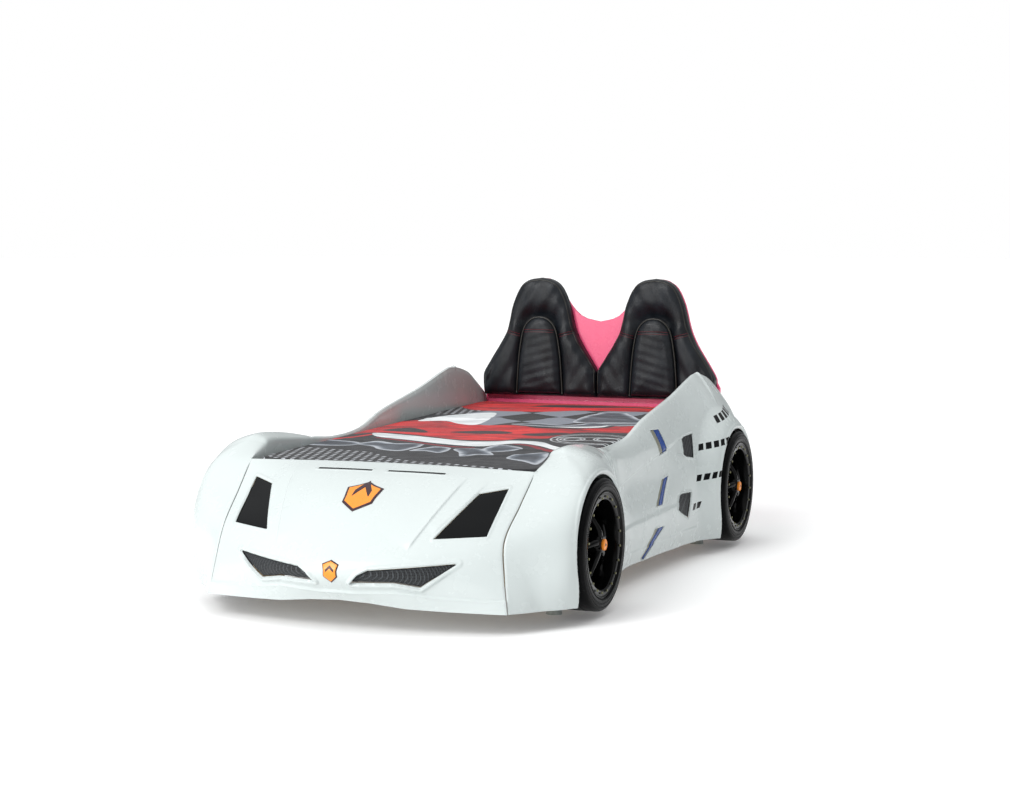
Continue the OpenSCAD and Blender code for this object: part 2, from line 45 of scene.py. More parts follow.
NOSE_MID = np.array([[-760, 448], [-870, 414], [-990, 350], [-1115, 247], [-1163, 175], [-1100, 93]], float)
CREASE = np.array([[466, -760, 440], [463, -795, 410], [457, -865, 350], [450, -965, 264], [462, -995, 165],
                   [478, -1010, 63]], float)
PLAN_POWER = 1.7
SIDE_NET = np.array([
    CREASE,
    [[466, -710, 462], [492, -748, 440], [508, -815, 377], [520, -905, 283], [528, -930, 165], [523, -945, 61]],
    [[466, -665, 477], [508, -685, 480], [552, -730, 425], [590, -795, 305], [598, -825, 165], [580, -835, 59]],
    [[466, -625, 489], [522, -625, 501], [592, -640, 455], [618, -670, 315], [618, -680, 165], [598, -685, 59]],
    [[466, -470, 477], [520, -470, 489], [590, -490, 445], [612, -510, 315], [610, -520, 165], [590, -520, 63]],
    [[466, -310, 463], [508, -310, 461], [545, -330, 420], [565, -350, 315], [575, -350, 165], [560, -350, 67]],
    [[466, -160, 451], [488, -160, 447], [505, -160, 415], [520, -160, 315], [545, -155, 175], [532, -150, 70]],
    [[466, 20, 460], [485, 20, 458], [505, 30, 420], [520, 40, 315], [548, 40, 175], [533, 40, 67]],
    [[466, 200, 505], [486, 200, 503], [512, 200, 445], [530, 210, 315], [555, 210, 175], [538, 210, 65]],
    [[466, 510, 556], [486, 510, 554], [525, 490, 465], [556, 490, 325], [572, 490, 175], [560, 490, 59]],
    [[466, 710, 598], [486, 710, 597], [550, 690, 485], [588, 680, 345], [598, 670, 175], [590, 670, 53]],
    [[466, 810, 611], [486, 810, 609], [572, 810, 485], [612, 825, 345], [615, 830, 175], [600, 830, 53]],
    [[466, 950, 588], [488, 950, 586], [570, 960, 465], [608, 980, 345], [610, 990, 175], [595, 990, 55]],
    [[466, 1050, 542], [490, 1055, 540], [545, 1065, 455], [570, 1080, 335], [575, 1085, 175], [565, 1085, 60]],
    [[466, 1135, 497], [488, 1140, 494], [515, 1146, 440], [530, 1150, 325], [535, 1150, 175], [525, 1150, 65]]
], float)
INNER_WALL_Z = 240
WHEEL_Y = (-630, 845)
WHEEL_Z = 216
ARCH_R = 207
ARCH_FOOT = 165
FLARE_X = 622
FLARE_AHEAD = 125
FLARE_BEHIND = 45
FLARE_START = 0.13

HEADLIGHT = [[336, 382], [410, 395], [402, 276], [265, 270]]
GRILLE = [[56, 147], [80, 171], [110, 187], [345, 206], [250, 138], [180, 150]]
HOOD_BADGE = [[0, 331], [48, 352], [50, 366], [58, 388], [26, 395], [0, 403], [-26, 395], [-58, 388], [-50, 366],
              [-48, 352]]
NOSE_BADGE = [[0, 147], [22, 165], [21, 182], [26, 200], [0, 211], [-26, 200], [-21, 182], [-22, 165]]
SLOT = [[26, -830], [206, -822], [206, -812], [26, -820]]
UPPER_VENT = [[470, 424], [548, 429], [525, 349], [462, 360]]
LOWER_VENT = [[381, 240], [468, 236], [430, 155], [338, 186]]
INLAYS = [
    [[199, 472], [275, 469], [310, 395], [240, 386]],
    [[236, 304], [294, 311], [203, 226], [144, 226]],
    [[100, 158], [188, 156], [26, 70], [-12, 75]]
]
INLAY_SPLIT = 0.45
# Groups of slanted blocks on the rear quarter: y and z of the first lower corner, how many, height and rise
STRIPES = [(712, 452, 5, 24, 6), (566, 368, 5, 22, 3), (520, 266, 4, 22, 2), (472, 172, 2, 22, 2)]


def through(a, b, c, d, t):
    """Catmull-Rom curve from b to c, for t from 0 to 1."""
    square, cube = 2 * a - 5 * b + 4 * c - d, 3 * b - a - 3 * c + d
    return 0.5 * (2 * b + (c - a) * t + square * t * t + cube * t * t * t)


def curve(points, u):
    """Smooth curve through points at every u from 0 to 1."""
    p = np.asarray(points, float)
    n = len(p) - 1
    p = np.concatenate([[2 * p[0] - p[1]], p, [2 * p[-1] - p[-2]]])
    s = np.clip(u, 0, 1) * n
    i = np.minimum(s.astype(int), n - 1)
    t = (s - i).reshape(s.shape + (1,) * (p.ndim - 1))
    return through(p[i], p[i + 1], p[i + 2], p[i + 3], t)


def smooth(x):
    x = np.clip(x, 0, 1)
    return x * x * (3 - 2 * x)


LIP_X = [0, 90, 200, 300, 450, 480]
LIP_Z = [93, 88, 75, 70, 63, 62]


def front_surface(s, t):
    c, e = curve(NOSE_MID, t), curve(CREASE, t)
    w = np.abs(s) ** PLAN_POWER
    x = e[..., 0] * s
    z = c[..., 1] * (1 - w) + e[..., 2] * w
    # The lower lip runs in a wave across the nose
    z = z + smooth((t - 0.84) / 0.16) * (np.interp(np.abs(x), LIP_X, LIP_Z) - (93 * (1 - w) + 63 * w))
    return np.stack([x, c[..., 0] * (1 - w) + e[..., 1] * w, z], -1)


def flared(p, amount, y):
    """Swells the side out round a wheel arch, to cover the tyre."""
    r = np.maximum(np.hypot(y - p[:, 1], p[:, 2] - WHEEL_Z), 1)
    ahead = 0.5 + 0.5 * (y - p[:, 1]) / r
    reach = FLARE_BEHIND + (FLARE_AHEAD - FLARE_BEHIND) * ahead
    k = smooth(1 - (r - ARCH_R) / reach) * amount
    return np.stack([p[:, 0] + k * np.maximum(0, FLARE_X - p[:, 0]), p[:, 1], p[:, 2]], -1)


def side_surface(u, t):
    """Right side. t below 0 runs down the inner wall from the top edge."""
    shape = u.shape
    u, t = u.ravel(), t.ravel()
    rows = np.stack([curve(section, np.maximum(t, 0)) for section in SIDE_NET])
    n = len(rows) - 1
    rows = np.concatenate([[2 * rows[0] - rows[1]], rows, [2 * rows[-1] - rows[-2]]])
    s = np.clip(u, 0, 1) * n
    i = np.minimum(s.astype(int), n - 1)
    f = (s - i)[:, None]
    k = np.arange(len(u))
    p = through(rows[i, k], rows[i + 1, k], rows[i + 2, k], rows[i + 3, k], f)
    amount = np.clip(6 * t, 0, 1) * smooth(u / FLARE_START)
    p = flared(flared(p, amount, WHEEL_Y[0]), amount, WHEEL_Y[1])
    fade = np.minimum(1, u * n)
    foot = p[:, 2] * (1 - fade) + INNER_WALL_Z * fade - 12 * (1 - fade)
    down = np.clip(-t, 0, 1)
    p[:, 2] = p[:, 2] + down * (foot - p[:, 2])
    return p.reshape(shape + (3,))


# ---- grids ---------------------------------------------------------------------------------

def even(line, n, lo=0.0, hi=1.0):
    """n + 1 values of a parameter, evenly spaced along the line that it draws."""
    w = np.linspace(lo, hi, 2000)
    p = line(w)
    far = np.concatenate([[0], np.cumsum(np.linalg.norm(np.diff(p, axis=0), axis=1))])
    return np.interp(np.linspace(0, far[-1], n + 1), far, w)


def outline_distance(ring, q):
    """Signed distance to a closed outline, negative inside, and the nearest point on it."""
    ring = np.asarray(ring, float)
    best = np.full(q.shape[:-1], 1e9)
    near = np.zeros(q.shape)
    inside = np.zeros(q.shape[:-1], bool)
    for a, b in zip(ring, np.roll(ring, -1, 0)):
        e = b - a
        k = np.clip(((q - a) @ e) / (e @ e), 0, 1)
        p = a + k[..., None] * e
        d = np.linalg.norm(q - p, axis=-1)
        closer = d < best
        best = np.where(closer, d, best)
        near = np.where(closer[..., None], p, near)
        spans = (a[1] > q[..., 1]) != (b[1] > q[..., 1])
        with np.errstate(divide="ignore", invalid="ignore"):
            left = q[..., 0] < a[0] + (q[..., 1] - a[1]) * e[0] / (e[1] if e[1] else 1e-9)
        inside ^= spans & left
    return np.where(inside, -best, best), near


def snap(surface, u, t, flat, ring):
    """Moves the grid points next to an outline onto it. Returns the signed distances after that."""
    sd, near = outline_distance(ring, flat(surface(u, t)))
    mark = np.zeros(sd.shape, bool)
    for axis in (0, 1):
        a = (slice(None, -1), slice(None))[::1 if axis == 0 else -1]
        b = (slice(1, None), slice(None))[::1 if axis == 0 else -1]
        crosses = sd[a] * sd[b] < 0
        first = np.abs(sd[a]) <= np.abs(sd[b])
        mark[a] |= crosses & first
        mark[b] |= crosses & ~first
    if len(ring) < 20 and mark.any():
        where = np.argwhere(mark)
        q = flat(surface(u, t))[mark]
        for corner in ring:
            k = where[np.argmin(np.linalg.norm(q - np.array(corner), axis=1))]
            near[tuple(k)] = corner
    goal, a, b = near[mark], u[mark], t[mark]
    h = 1e-5
    for _ in range(4):
        p = flat(surface(a, b))
        pu = (flat(surface(a + h, b)) - p) / h
        pt = (flat(surface(a, b + h)) - p) / h
        det = pu[:, 0] * pt[:, 1] - pu[:, 1] * pt[:, 0]
        det = np.where(np.abs(det) < 1e-6, 1e-6, det)
        d = goal - p
        a = a + np.clip((d[:, 0] * pt[:, 1] - d[:, 1] * pt[:, 0]) / det, -0.01, 0.01)
        b = b + np.clip((pu[:, 0] * d[:, 1] - pu[:, 1] * d[:, 0]) / det, -0.01, 0.01)
    u[mark], t[mark] = a, b
    sd = outline_distance(ring, flat(surface(u, t)))[0]
    sd[mark] = 0
    return sd


def grid_faces(shape, fields):
    """Faces of a grid, split along the outlines, and the outline that each lies in, or -1."""
    nu, nv = shape
    index = np.arange(nu * nv).reshape(nu, nv)
    quads = np.stack([index[:-1, :-1], index[1:, :-1], index[1:, 1:], index[:-1, 1:]], -1).reshape(-1, 4)
    owner = np.full(len(quads), -1)
    split = np.zeros(len(quads), int)
    for k, sd in enumerate(fields):
        c = sd.ravel()[quads]
        owner[(c.sum(1) < 0) & (c.max(1) <= 0)] = k
        straddle = (c.min(1) < 0) & (c.max(1) > 0)
        split[straddle & (c[:, 0] == 0) & (c[:, 2] == 0)] = 1
        split[straddle & (c[:, 1] == 0) & (c[:, 3] == 0)] = 2
    whole = split == 0
    faces, owners = [quads[whole]], [owner[whole]]
    tris = []
    for way, (p, q) in ((1, ((0, 1, 2), (0, 2, 3))), (2, ((0, 1, 3), (1, 2, 3)))):
        for corner in (p, q):
            tris.append(quads[split == way][:, corner])
    tris = np.concatenate(tris)
    owner3 = np.full(len(tris), -1)
    for k, sd in enumerate(fields):
        c = sd.ravel()[tris]
        owner3[(c.sum(1) < 0) & (c.max(1) <= 0)] = k
    return [(f, o) for f, o in zip(faces, owners)] + [(tris, owner3)]


def normals(p):
    """Outward unit normals of a grid whose u runs along and t runs down."""
    n = np.cross(np.gradient(p, axis=1), np.gradient(p, axis=0))
    return n / np.maximum(np.linalg.norm(n, axis=-1, keepdims=True), 1e-9)


# ---- making pieces -------------------------------------------------------------------------

def piece(name, verts, faces, mat, body="bed", mirror=False, angle=None):
    """Mesh from points in millimetres, riding on a CAD body."""
    verts = np.asarray(verts, float) * MM
    if mirror:
        verts = verts * np.array([-1, 1, 1])
        faces = [tuple(reversed(f)) for f in faces]
    me = bpy.data.meshes.new(name)
    me.from_pydata(verts.tolist(), [], [tuple(int(i) for i in f) for f in faces])
    used = bmesh.new()
    used.from_mesh(me)
    loose = [v for v in used.verts if not v.link_faces]
    bmesh.ops.delete(used, geom=loose, context="VERTS")
    used.to_mesh(me)
    used.free()
    me.materials.append(mat)
    me.polygons.foreach_set("use_smooth", [True] * len(me.polygons))
    if angle is not None:
        me.set_sharp_from_angle(angle=math.radians(angle))
    me.update()
    ob = bpy.data.objects.new(name, me)
    bpy.context.scene.collection.objects.link(ob)
    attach(ob, body)
    return ob


def apply_modifiers(ob):
    bpy.context.view_layer.update()
    deps = bpy.context.evaluated_depsgraph_get()
    me = bpy.data.meshes.new_from_object(ob.evaluated_get(deps))
    old = ob.data
    ob.modifiers.clear()
    ob.data = me
    bpy.data.meshes.remove(old)


def thicken(ob, thickness, angle=40):
    mod = ob.modifiers.new("wall", "SOLIDIFY")
    mod.thickness = thickness * MM
    mod.offset = -1
    mod.use_even_offset = False
    apply_modifiers(ob)
    ob.data.set_sharp_from_angle(angle=math.radians(angle))


def used_only(p, groups):
    """Points and faces with the points that no face uses left out."""
    flat = [tuple(f[::-1]) for g in groups for f in g.tolist()]
    keep = sorted({i for f in flat for i in f})
    at = {v: i for i, v in enumerate(keep)}
    return p.reshape(-1, 3)[keep], [tuple(at[i] for i in f) for f in flat]


# ---- materials -----------------------------------------------------------------------------

def material(name, color, rough=0.4, metal=0.0, spec=0.5, coat=0.0, sheen=0.0):
    mat = bpy.data.materials.new(name)
    mat.use_nodes = True
    b = mat.node_tree.nodes["Principled BSDF"]
    set_inputs(b, Base_Color=(*color, 1), Roughness=rough, Metallic=metal, Specular_IOR_Level=spec,
               Coat_Weight=coat, Coat_Roughness=0.1, Sheen_Weight=sheen)
    return mat, mat.node_tree, b


def node(tree, kind, **values):
    n = tree.nodes.new(kind)
    for key, value in values.items():
        if key in n.inputs:
            n.inputs[key].default_value = value
        else:
            setattr(n, key, value)
    return n


def noise(tree, scale, detail=4.0, rough=0.5, stretch=(1, 1, 1)):
    coord = node(tree, "ShaderNodeTexCoord")
    place = node(tree, "ShaderNodeMapping", Scale=stretch)
    n = node(tree, "ShaderNodeTexNoise", Scale=scale, Detail=detail, Roughness=rough)
    tree.links.new(coord.outputs["Object"], place.inputs["Vector"])
    tree.links.new(place.outputs[0], n.inputs["Vector"])
    return n.outputs["Fac"]


def ramp(tree, value, stops):
    r = node(tree, "ShaderNodeValToRGB")
    el = r.color_ramp.elements
    while len(el) < len(stops):
        el.new(0.5)
    for e, (pos, col) in zip(el, stops):
        e.position = pos
        e.color = (*col, 1) if len(col) == 3 else col
    tree.links.new(value, r.inputs["Fac"])
    return r.outputs["Color"]


def vary(tree, b, value, color, amount):
    """Base colour that drifts a little around color."""
    lo = tuple(c * (1 - amount) for c in color)
    hi = tuple(min(1, c * (1 + amount)) for c in color)
    tree.links.new(ramp(tree, value, [(0.3, lo), (0.7, hi)]), b.inputs["Base Color"])


def set_inputs(n, **values):
    """Sets a node's inputs by name; an underscore stands for a space."""
    for key, value in values.items():
        n.inputs[key.replace("_", " ")].default_value = value


def map_range(tree, value, lo, hi, to_lo, to_hi):
    r = node(tree, "ShaderNodeMapRange")
    set_inputs(r, From_Min=lo, From_Max=hi, To_Min=to_lo, To_Max=to_hi)
    tree.links.new(value, r.inputs["Value"])
    return r.outputs[0]


def rough_between(tree, b, value, lo, hi):
    tree.links.new(map_range(tree, value, 0.3, 0.7, lo, hi), b.inputs["Roughness"])


def bump(tree, b, height, strength, distance):
    n = node(tree, "ShaderNodeBump", Strength=strength, Distance=distance)
    tree.links.new(height, n.inputs["Height"])
    tree.links.new(n.outputs[0], b.inputs["Normal"])
    return n


def plain_plastic(name, color, rough, spread=0.06, amount=0.05, scale=9, spec=0.5, coat=0.0, grain=0.0):
    mat, tree, b = material(name, color, rough, spec=spec, coat=coat)
    soft = noise(tree, scale, 5)
    vary(tree, b, soft, color, amount)
    rough_between(tree, b, noise(tree, scale * 3.7, 6, 0.6), max(0.02, rough - spread), rough + spread)
    if grain:
        bump(tree, b, noise(tree, 900, 2), grain, 0.0004)
    return mat


WHITE = plain_plastic("body_white", (0.555, 0.605, 0.598), 0.26, 0.04, 0.018, 3.5,
                      spec=0.45, coat=0.15, grain=0.03)
GLOSS_BLACK = plain_plastic("smoked_black", (0.003, 0.0035, 0.004), 0.14, 0.03, 0.1, 8, spec=0.12)
ORANGE = plain_plastic("badge_orange", (0.86, 0.27, 0.02), 0.3, 0.04, 0.05, 60)
DARK_TRIM = plain_plastic("badge_dark", (0.03, 0.006, 0.012), 0.35, 0.05, 0.1, 60)
BLUE = plain_plastic("inlay_blue", (0.006, 0.045, 0.24), 0.22, 0.04, 0.25, 25, spec=0.3)
GREY = plain_plastic("inlay_grey", (0.21, 0.21, 0.16), 0.35, 0.05, 0.2, 25)


def mesh_material():
    """Fine hexagon-like mesh pressed into matte black plastic, with painted light on the raised strands and painted
    shade in the sunk cells.
    """
    mat, tree, b = material("grille_mesh", (0.02, 0.022, 0.025), 0.45, spec=0.35)
    coord = node(tree, "ShaderNodeTexCoord")
    cells = node(tree, "ShaderNodeTexVoronoi", Scale=230.0, Randomness=0.12)
    cells.feature = "DISTANCE_TO_EDGE"
    tree.links.new(coord.outputs["Object"], cells.inputs["Vector"])
    # Painted light and shade: lighter grey on the raised strands, near black in the sunk cells
    stops = [(0.05, (0.075, 0.082, 0.088)), (0.17, (0.004, 0.004, 0.005))]
    color = ramp(tree, cells.outputs["Distance"], stops)
    tree.links.new(color, b.inputs["Base Color"])
    height = ramp(tree, cells.outputs["Distance"], [(0.03, (1, 1, 1)), (0.16, (0, 0, 0))])
    bump(tree, b, height, 0.9, 0.002)
    return mat


MESH = mesh_material()

# ---- front panel ---------------------------------------------------------------------------

xz = lambda p: p[..., [0, 2]]
xy = lambda p: p[..., [0, 1]]
yz = lambda p: p[..., [1, 2]]


def flip(ring):
    return [[-a, b] for a, b in ring][::-1]


def ridge(d, width):
    return np.exp(-(d / width) ** 2)


def line_distance(a, b, q):
    """Distance from the line through a and b (positive on the left of a to b) and place along it, 0 to 1."""
    a, b = np.array(a, float), np.array(b, float)
    e = b - a
    k = ((q - a) @ e) / (e @ e)
    side = (e[0] * (q[..., 1] - a[1]) - e[1] * (q[..., 0] - a[0])) / np.linalg.norm(e)
    return side, k


def border(sd, width, rise, edge_drop, edge=2.5):
    """Height of a raised frame outside an outline, falling away at its inner edge."""
    up = rise * smooth(1 - (sd - width) / (0.55 * width)) * (sd > 0)
    return up - edge_drop * smooth(1 - sd / edge) * (sd >= 0)


# Creases on each side of the hood: upper end and lower end in [x, z], and height
HOOD_CREASES = (((284, 425), (205, 241), 4.6), ((347, 408), (259, 280), 3.6))
# Top of the chin across the nose
CHIN_X = [0, 60, 180, 300, 450]
CHIN_Z = [122, 122, 128, 112, 100]


def front_height(p, fields):
    x, y, z = np.abs(p[..., 0]), p[..., 1], p[..., 2]
    q = np.stack([x, z], -1)
    h = np.zeros(x.shape)
    # Each crease steps up towards the middle of the hood
    for a, b, rise in HOOD_CREASES:
        d, k = line_distance(b, a, q)
        along = smooth((k + 0.02) / 0.12) * smooth((1.06 - k) / 0.3)
        step = smooth((d + 3.5) / 5.5) * np.exp(-np.maximum(d - 2, 0) / 34)
        h += rise * along * step
    # The chin stands proud of the panel above it
    chin = np.interp(x, CHIN_X, CHIN_Z)
    h += 5.0 * smooth((chin - z) / 7.0 + 0.4) * (y < -900)
    h += 1.2 * ridge(z - chin + 3, 3.5) * (y < -900)
    for name, sd in fields.items():
        if name.startswith("headlight"):
            h += border(sd, 6, 1.6, 1.5)
        if name.startswith("grille"):
            low = smooth((205 - z) / 40) * 0.6 + 0.4
            h += border(sd, 8, 6.0, 3.0) * low
        if name.startswith("slot"):
            below = smooth((-y - 812) / 8)
            h += 1.6 * ridge(sd - 5.5, 3.0) * below - 0.5 * (sd <= 1)
    return h


def front_grid():
    s = np.linspace(-1, 1, 345) * (1 - 1.1 / 466)
    t = even(lambda w: front_surface(np.zeros(len(w)), w), 215)
    u, v = np.meshgrid(s, t, indexing="ij")
    names = {"headlight_r": (HEADLIGHT, xz), "headlight_l": (flip(HEADLIGHT), xz),
             "grille_r": (GRILLE, xz), "grille_l": (flip(GRILLE), xz),
             "slot_r": (SLOT, xy), "slot_l": (flip(SLOT), xy)}
    fields = {}
    for key, (ring, flat) in names.items():
        sd = snap(front_surface, u, v, flat, ring)
        if flat is xy:
            sd = np.where(front_surface(u, v)[..., 2] < 380, 900.0, sd)
        fields[key] = sd
    p = front_surface(u, v)
    n = normals(p)
    h = front_height(p, fields)
    # The panel's edges turn in at the seams
    to_edge = (1 - np.abs(u)) * 466
    h -= 2.2 * np.exp(-np.maximum(to_edge - 1.1, 0) / 2.2)
    h -= 3.5 * np.exp(-v * 130)
    return p + h[..., None] * n, n, fields


front, front_n, front_fields = front_grid()
front_parts = grid_faces(front.shape[:2], list(front_fields.values()))
front_keys = list(front_fields)

verts, faces = used_only(front, [f[o < 0] for f, o in front_parts])
panel = piece("front_panel_shell", verts, faces, WHITE)
thicken(panel, 4.5)
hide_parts("front_panel")

for key, cad, mat, slot_name, depth in (
        ("headlight_r", "right_headlight", GLOSS_BLACK, "gloss_black", 3.0),
        ("headlight_l", "left_headlight", GLOSS_BLACK, "gloss_black", 3.0),
        ("grille_r", "right_grille", MESH, "mesh_black", 5.5),
        ("grille_l", "left_grille", MESH, "mesh_black", 5.5)):
    k = front_keys.index(key)
    sunk = front - depth * front_n
    verts, faces = used_only(sunk, [f[o == k] for f, o in front_parts])
    ob = piece(cad + "_face", verts, faces, mat)
    thicken(ob, 2.0)
    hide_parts(cad)
# Painted shade: a gloss black sheet just under the surface fills the hood slits in place of the shade inside them
slots = [front_keys.index("slot_r"), front_keys.index("slot_l")]
verts, faces = used_only(front - 0.35 * front_n, [f[np.isin(o, slots)] for f, o in front_parts])
ob = piece("hood_slot_floors", verts, faces, GLOSS_BLACK)
thicken(ob, 1.5)
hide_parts("hood_slots")

# ---- side panels -----------------------------------------------------------------------------

def slice_of(q, a, b):
    q = np.array(q, float)
    return [(q[0] + (q[1] - q[0]) * a).tolist(), (q[0] + (q[1] - q[0]) * b).tolist(),
            (q[3] + (q[2] - q[3]) * b).tolist(), (q[3] + (q[2] - q[3]) * a).tolist()]


def arch(y):
    """Opening for a wheel: round above the axle, with straight sides down to the sill."""
    ring = [[y + ARCH_R * math.cos(k), WHEEL_Z + ARCH_R * math.sin(k)] for k in np.linspace(0, math.pi, 90)]
    for down in (10, 25, 40, 55, 70, 85):
        edge = max(ARCH_R - (ARCH_R - ARCH_FOOT) * down / WHEEL_Z, math.sqrt(ARCH_R ** 2 - down ** 2))
        ring.append([y - edge, WHEEL_Z - down])
    return ring + [[y - ARCH_FOOT, 0], [y + ARCH_R, 0]]


def side_height(p, u, t, fields):
    y, z = p[..., 1], p[..., 2]
    q = np.stack([y, z], -1)
    outer = smooth(t / 0.06)
    h = np.zeros(y.shape)
    for name, sd in fields.items():
        if name.startswith("arch"):
            h += (2.6 * smooth(1 - (sd - 15) / 6) - 5.0 * smooth(1 - sd / 7)) * (sd >= 0)
    # Scoops ahead of the vents, deepest at the vent's front edge
    for ring, y0, depth in ((UPPER_VENT, 372, 7), (LOWER_VENT, 300, 7)):
        r = np.array(ring, float)
        above = line_distance(r[0], r[1], q)[0]
        below = line_distance(r[3], r[2], q)[0]
        front_x = r[3][0] + (r[0][0] - r[3][0]) * (z - r[3][1]) / (r[0][1] - r[3][1])
        back_x = r[2][0] + (r[1][0] - r[2][0]) * (z - r[2][1]) / (r[1][1] - r[2][1])
        lean = front_x - r[3][0]
        fall = smooth((y - (y0 + lean)) / np.maximum(front_x - 4 - y0 - lean, 1))
        rise = np.clip((back_x - y) / np.maximum(back_x - front_x, 1), 0, 1)
        window = smooth((1 - above) / 6) * smooth((1 + below) / 6)
        h -= depth * fall * rise * window
    for name, sd in fields.items():
        if name.startswith("vent"):
            h += border(sd, 5, 3.5, 0.5) * smooth((y + 400) / 10)
        if name.startswith("inlay"):
            h += border(sd, 4, 1.2, 1.2)
    # Character lines along the waist, and the sill below them
    mid = smooth((y + 330) / 90) * smooth((430 - y) / 120)
    h += 4.0 * smooth((z - (325 + 0.16 * (y + 160))) / 9 + 0.5) * mid * smooth((470 - z) / 60) * outer
    h += 5.0 * smooth(((196 + 0.03 * (y + 160)) - z) / 10 + 0.5) * mid * outer
    h += 3.5 * smooth((112 - z) / 8 + 0.5) * smooth((y + 420) / 60) * smooth((560 - y) / 60) * outer
    # Fold where the fender runs into the waist, and the ridge down from the wing's peak
    d, k = line_distance((-345, 486), (-262, 430), q)
    h -= 9 * ridge(d, 9) * smooth(k / 0.25) * smooth((1.15 - k) / 0.3) * smooth(t / 0.05) * (t < 0.5)
    d, k = line_distance((838, 640), (806, 500), q)
    h += 6 * ridge(d, 6) * smooth((k + 0.1) / 0.15) * smooth((1 - k) / 0.5) * outer
    h += 2.4 * ridge(t - 0.075, 0.022) * smooth((y + 260) / 120)
    return h


SIDE_LENGTH = 2100
STRIPE_PITCH = 34
STRIPE_LONG = 24


def side_grid():
    u = even(lambda w: side_surface(w, np.full(len(w), 0.55)), 620, 0.0022, 1)
    down = even(lambda w: side_surface(np.full(len(w), 0.72), w), 178)
    t = np.concatenate([np.linspace(-1, -0.06, 16), [-0.03, -0.012], down])
    a, b = np.meshgrid(u, t, indexing="ij")
    names = {"arch_f": (arch(WHEEL_Y[0]), yz), "arch_r": (arch(WHEEL_Y[1]), yz),
             "vent_u": (UPPER_VENT, yz), "vent_l": (LOWER_VENT, yz)}
    for i, ring in enumerate(INLAYS):
        names[f"inlay_grey{i}"] = (slice_of(ring, 0, INLAY_SPLIT), yz)
        names[f"inlay_blue{i}"] = (slice_of(ring, INLAY_SPLIT, 1), yz)
    for i, (y, z, count, high, rise) in enumerate(STRIPES):
        for k in range(count):
            y0, z0 = y + STRIPE_PITCH * k, z + rise * k
            y1, z1 = y0 + STRIPE_LONG, z0 + 0.7 * rise
            ring = [[y0 + 0.5 * high, z0 + high], [y1 + 0.5 * high, z1 + high], [y1, z1], [y0, z0]]
            names[f"stripe{i}_{k}"] = (ring, yz)
    cut = int((t < 0).sum())
    fields = {}
    ua, tb = a[:, cut:].copy(), b[:, cut:].copy()
    for key, (ring, flat) in names.items():
        sd = snap(side_surface, ua, tb, flat, ring)
        fields[key] = np.concatenate([np.full((len(u), cut), 900.0), sd], 1)
    a[:, cut:], b[:, cut:] = ua, tb
    p = side_surface(a, b)
    base = p.copy()
    # Round the top edge of the wall over a few millimetres
    for _ in range(6):
        lo, hi = cut - 3, cut + 3
        p[:, lo:hi + 1] = 0.5 * p[:, lo:hi + 1] + 0.25 * (p[:, lo - 1:hi] + p[:, lo + 1:hi + 2])
    n = normals(p)
    h = side_height(base, a, b, fields)
    h = np.where(b < 0, 0, h)
    from_seam = np.abs(a - a[0, 0]) * SIDE_LENGTH
    h -= 2.2 * np.exp(-from_seam / 2.6) * (b >= 0)
    return p + h[..., None] * n, n, fields, b


side, side_n, side_fields, side_t = side_grid()
side_parts = grid_faces(side.shape[:2], list(side_fields.values()))
side_keys = list(side_fields)

for hand, mirror in (("right", False), ("left", True)):
    verts, faces = used_only(side, [f[o < 0] for f, o in side_parts])
    ob = piece(hand + "_side_shell", verts, faces, WHITE, mirror=mirror)
    thicken(ob, 4.5)
    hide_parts(hand + "_side_panel")
    pick = [side_keys.index(k) for k in side_keys if k.startswith("vent")]
    verts, faces = used_only(side - 2.5 * side_n, [f[np.isin(o, pick)] for f, o in side_parts])
    ob = piece(hand + "_vent_mesh", verts, faces, MESH, mirror=mirror)
    thicken(ob, 1.8)
    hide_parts(hand + "_vents")
for kind, mat, slot_name in (("blue", BLUE, "inlay_blue"), ("grey", GREY, "inlay_grey")):
    pick = [side_keys.index(k) for k in side_keys if k.startswith("inlay_" + kind)]
    drop = 1.6 if kind == "blue" else 2.4
    for hand, mirror in (("right", False), ("left", True)):
        verts, faces = used_only(side - drop * side_n, [f[np.isin(o, pick)] for f, o in side_parts])
        ob = piece(f"{hand}_{kind}_inlay", verts, faces, mat, mirror=mirror)
        thicken(ob, 2.4)
        if mirror:
            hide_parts(kind + "_inlays")

pick = [side_keys.index(k) for k in side_keys if k.startswith("stripe")]
for hand, mirror in (("right", False), ("left", True)):
    verts, faces = used_only(side - 0.1 * side_n, [f[np.isin(o, pick)] for f, o in side_parts])
    ob = piece(hand + "_stripes", verts, faces, GLOSS_BLACK, mirror=mirror)
    thicken(ob, 2.0)

# ---- more materials ---------------------------------------------------------------------------

def leather_material():
    """Black leather: fine grain, soft worn patches and a broad sheen."""
    mat, tree, b = material("seat_leather", (0.006, 0.008, 0.010), 0.36, spec=0.32)
    worn = noise(tree, 14, 8, 0.62, (1, 1, 0.45))
    vary(tree, b, worn, (0.006, 0.008, 0.011), 0.6)
    rough_between(tree, b, noise(tree, 42, 7, 0.65, (1, 1, 0.6)), 0.26, 0.46)
    coord = node(tree, "ShaderNodeTexCoord")
    grain = node(tree, "ShaderNodeTexVoronoi", Scale=520.0)
    grain.feature = "DISTANCE_TO_EDGE"
    tree.links.new(coord.outputs["Object"], grain.inputs["Vector"])
    pores = ramp(tree, grain.outputs["Distance"], [(0.0, (0, 0, 0)), (0.25, (1, 1, 1))])
    first = bump(tree, b, pores, 0.25, 0.0006)
    folds = node(tree, "ShaderNodeBump", Strength=0.5, Distance=0.004)
    tree.links.new(noise(tree, 26, 6, 0.6, (1, 1, 0.4)), folds.inputs["Height"])
    tree.links.new(folds.outputs[0], first.inputs["Normal"])
    return mat


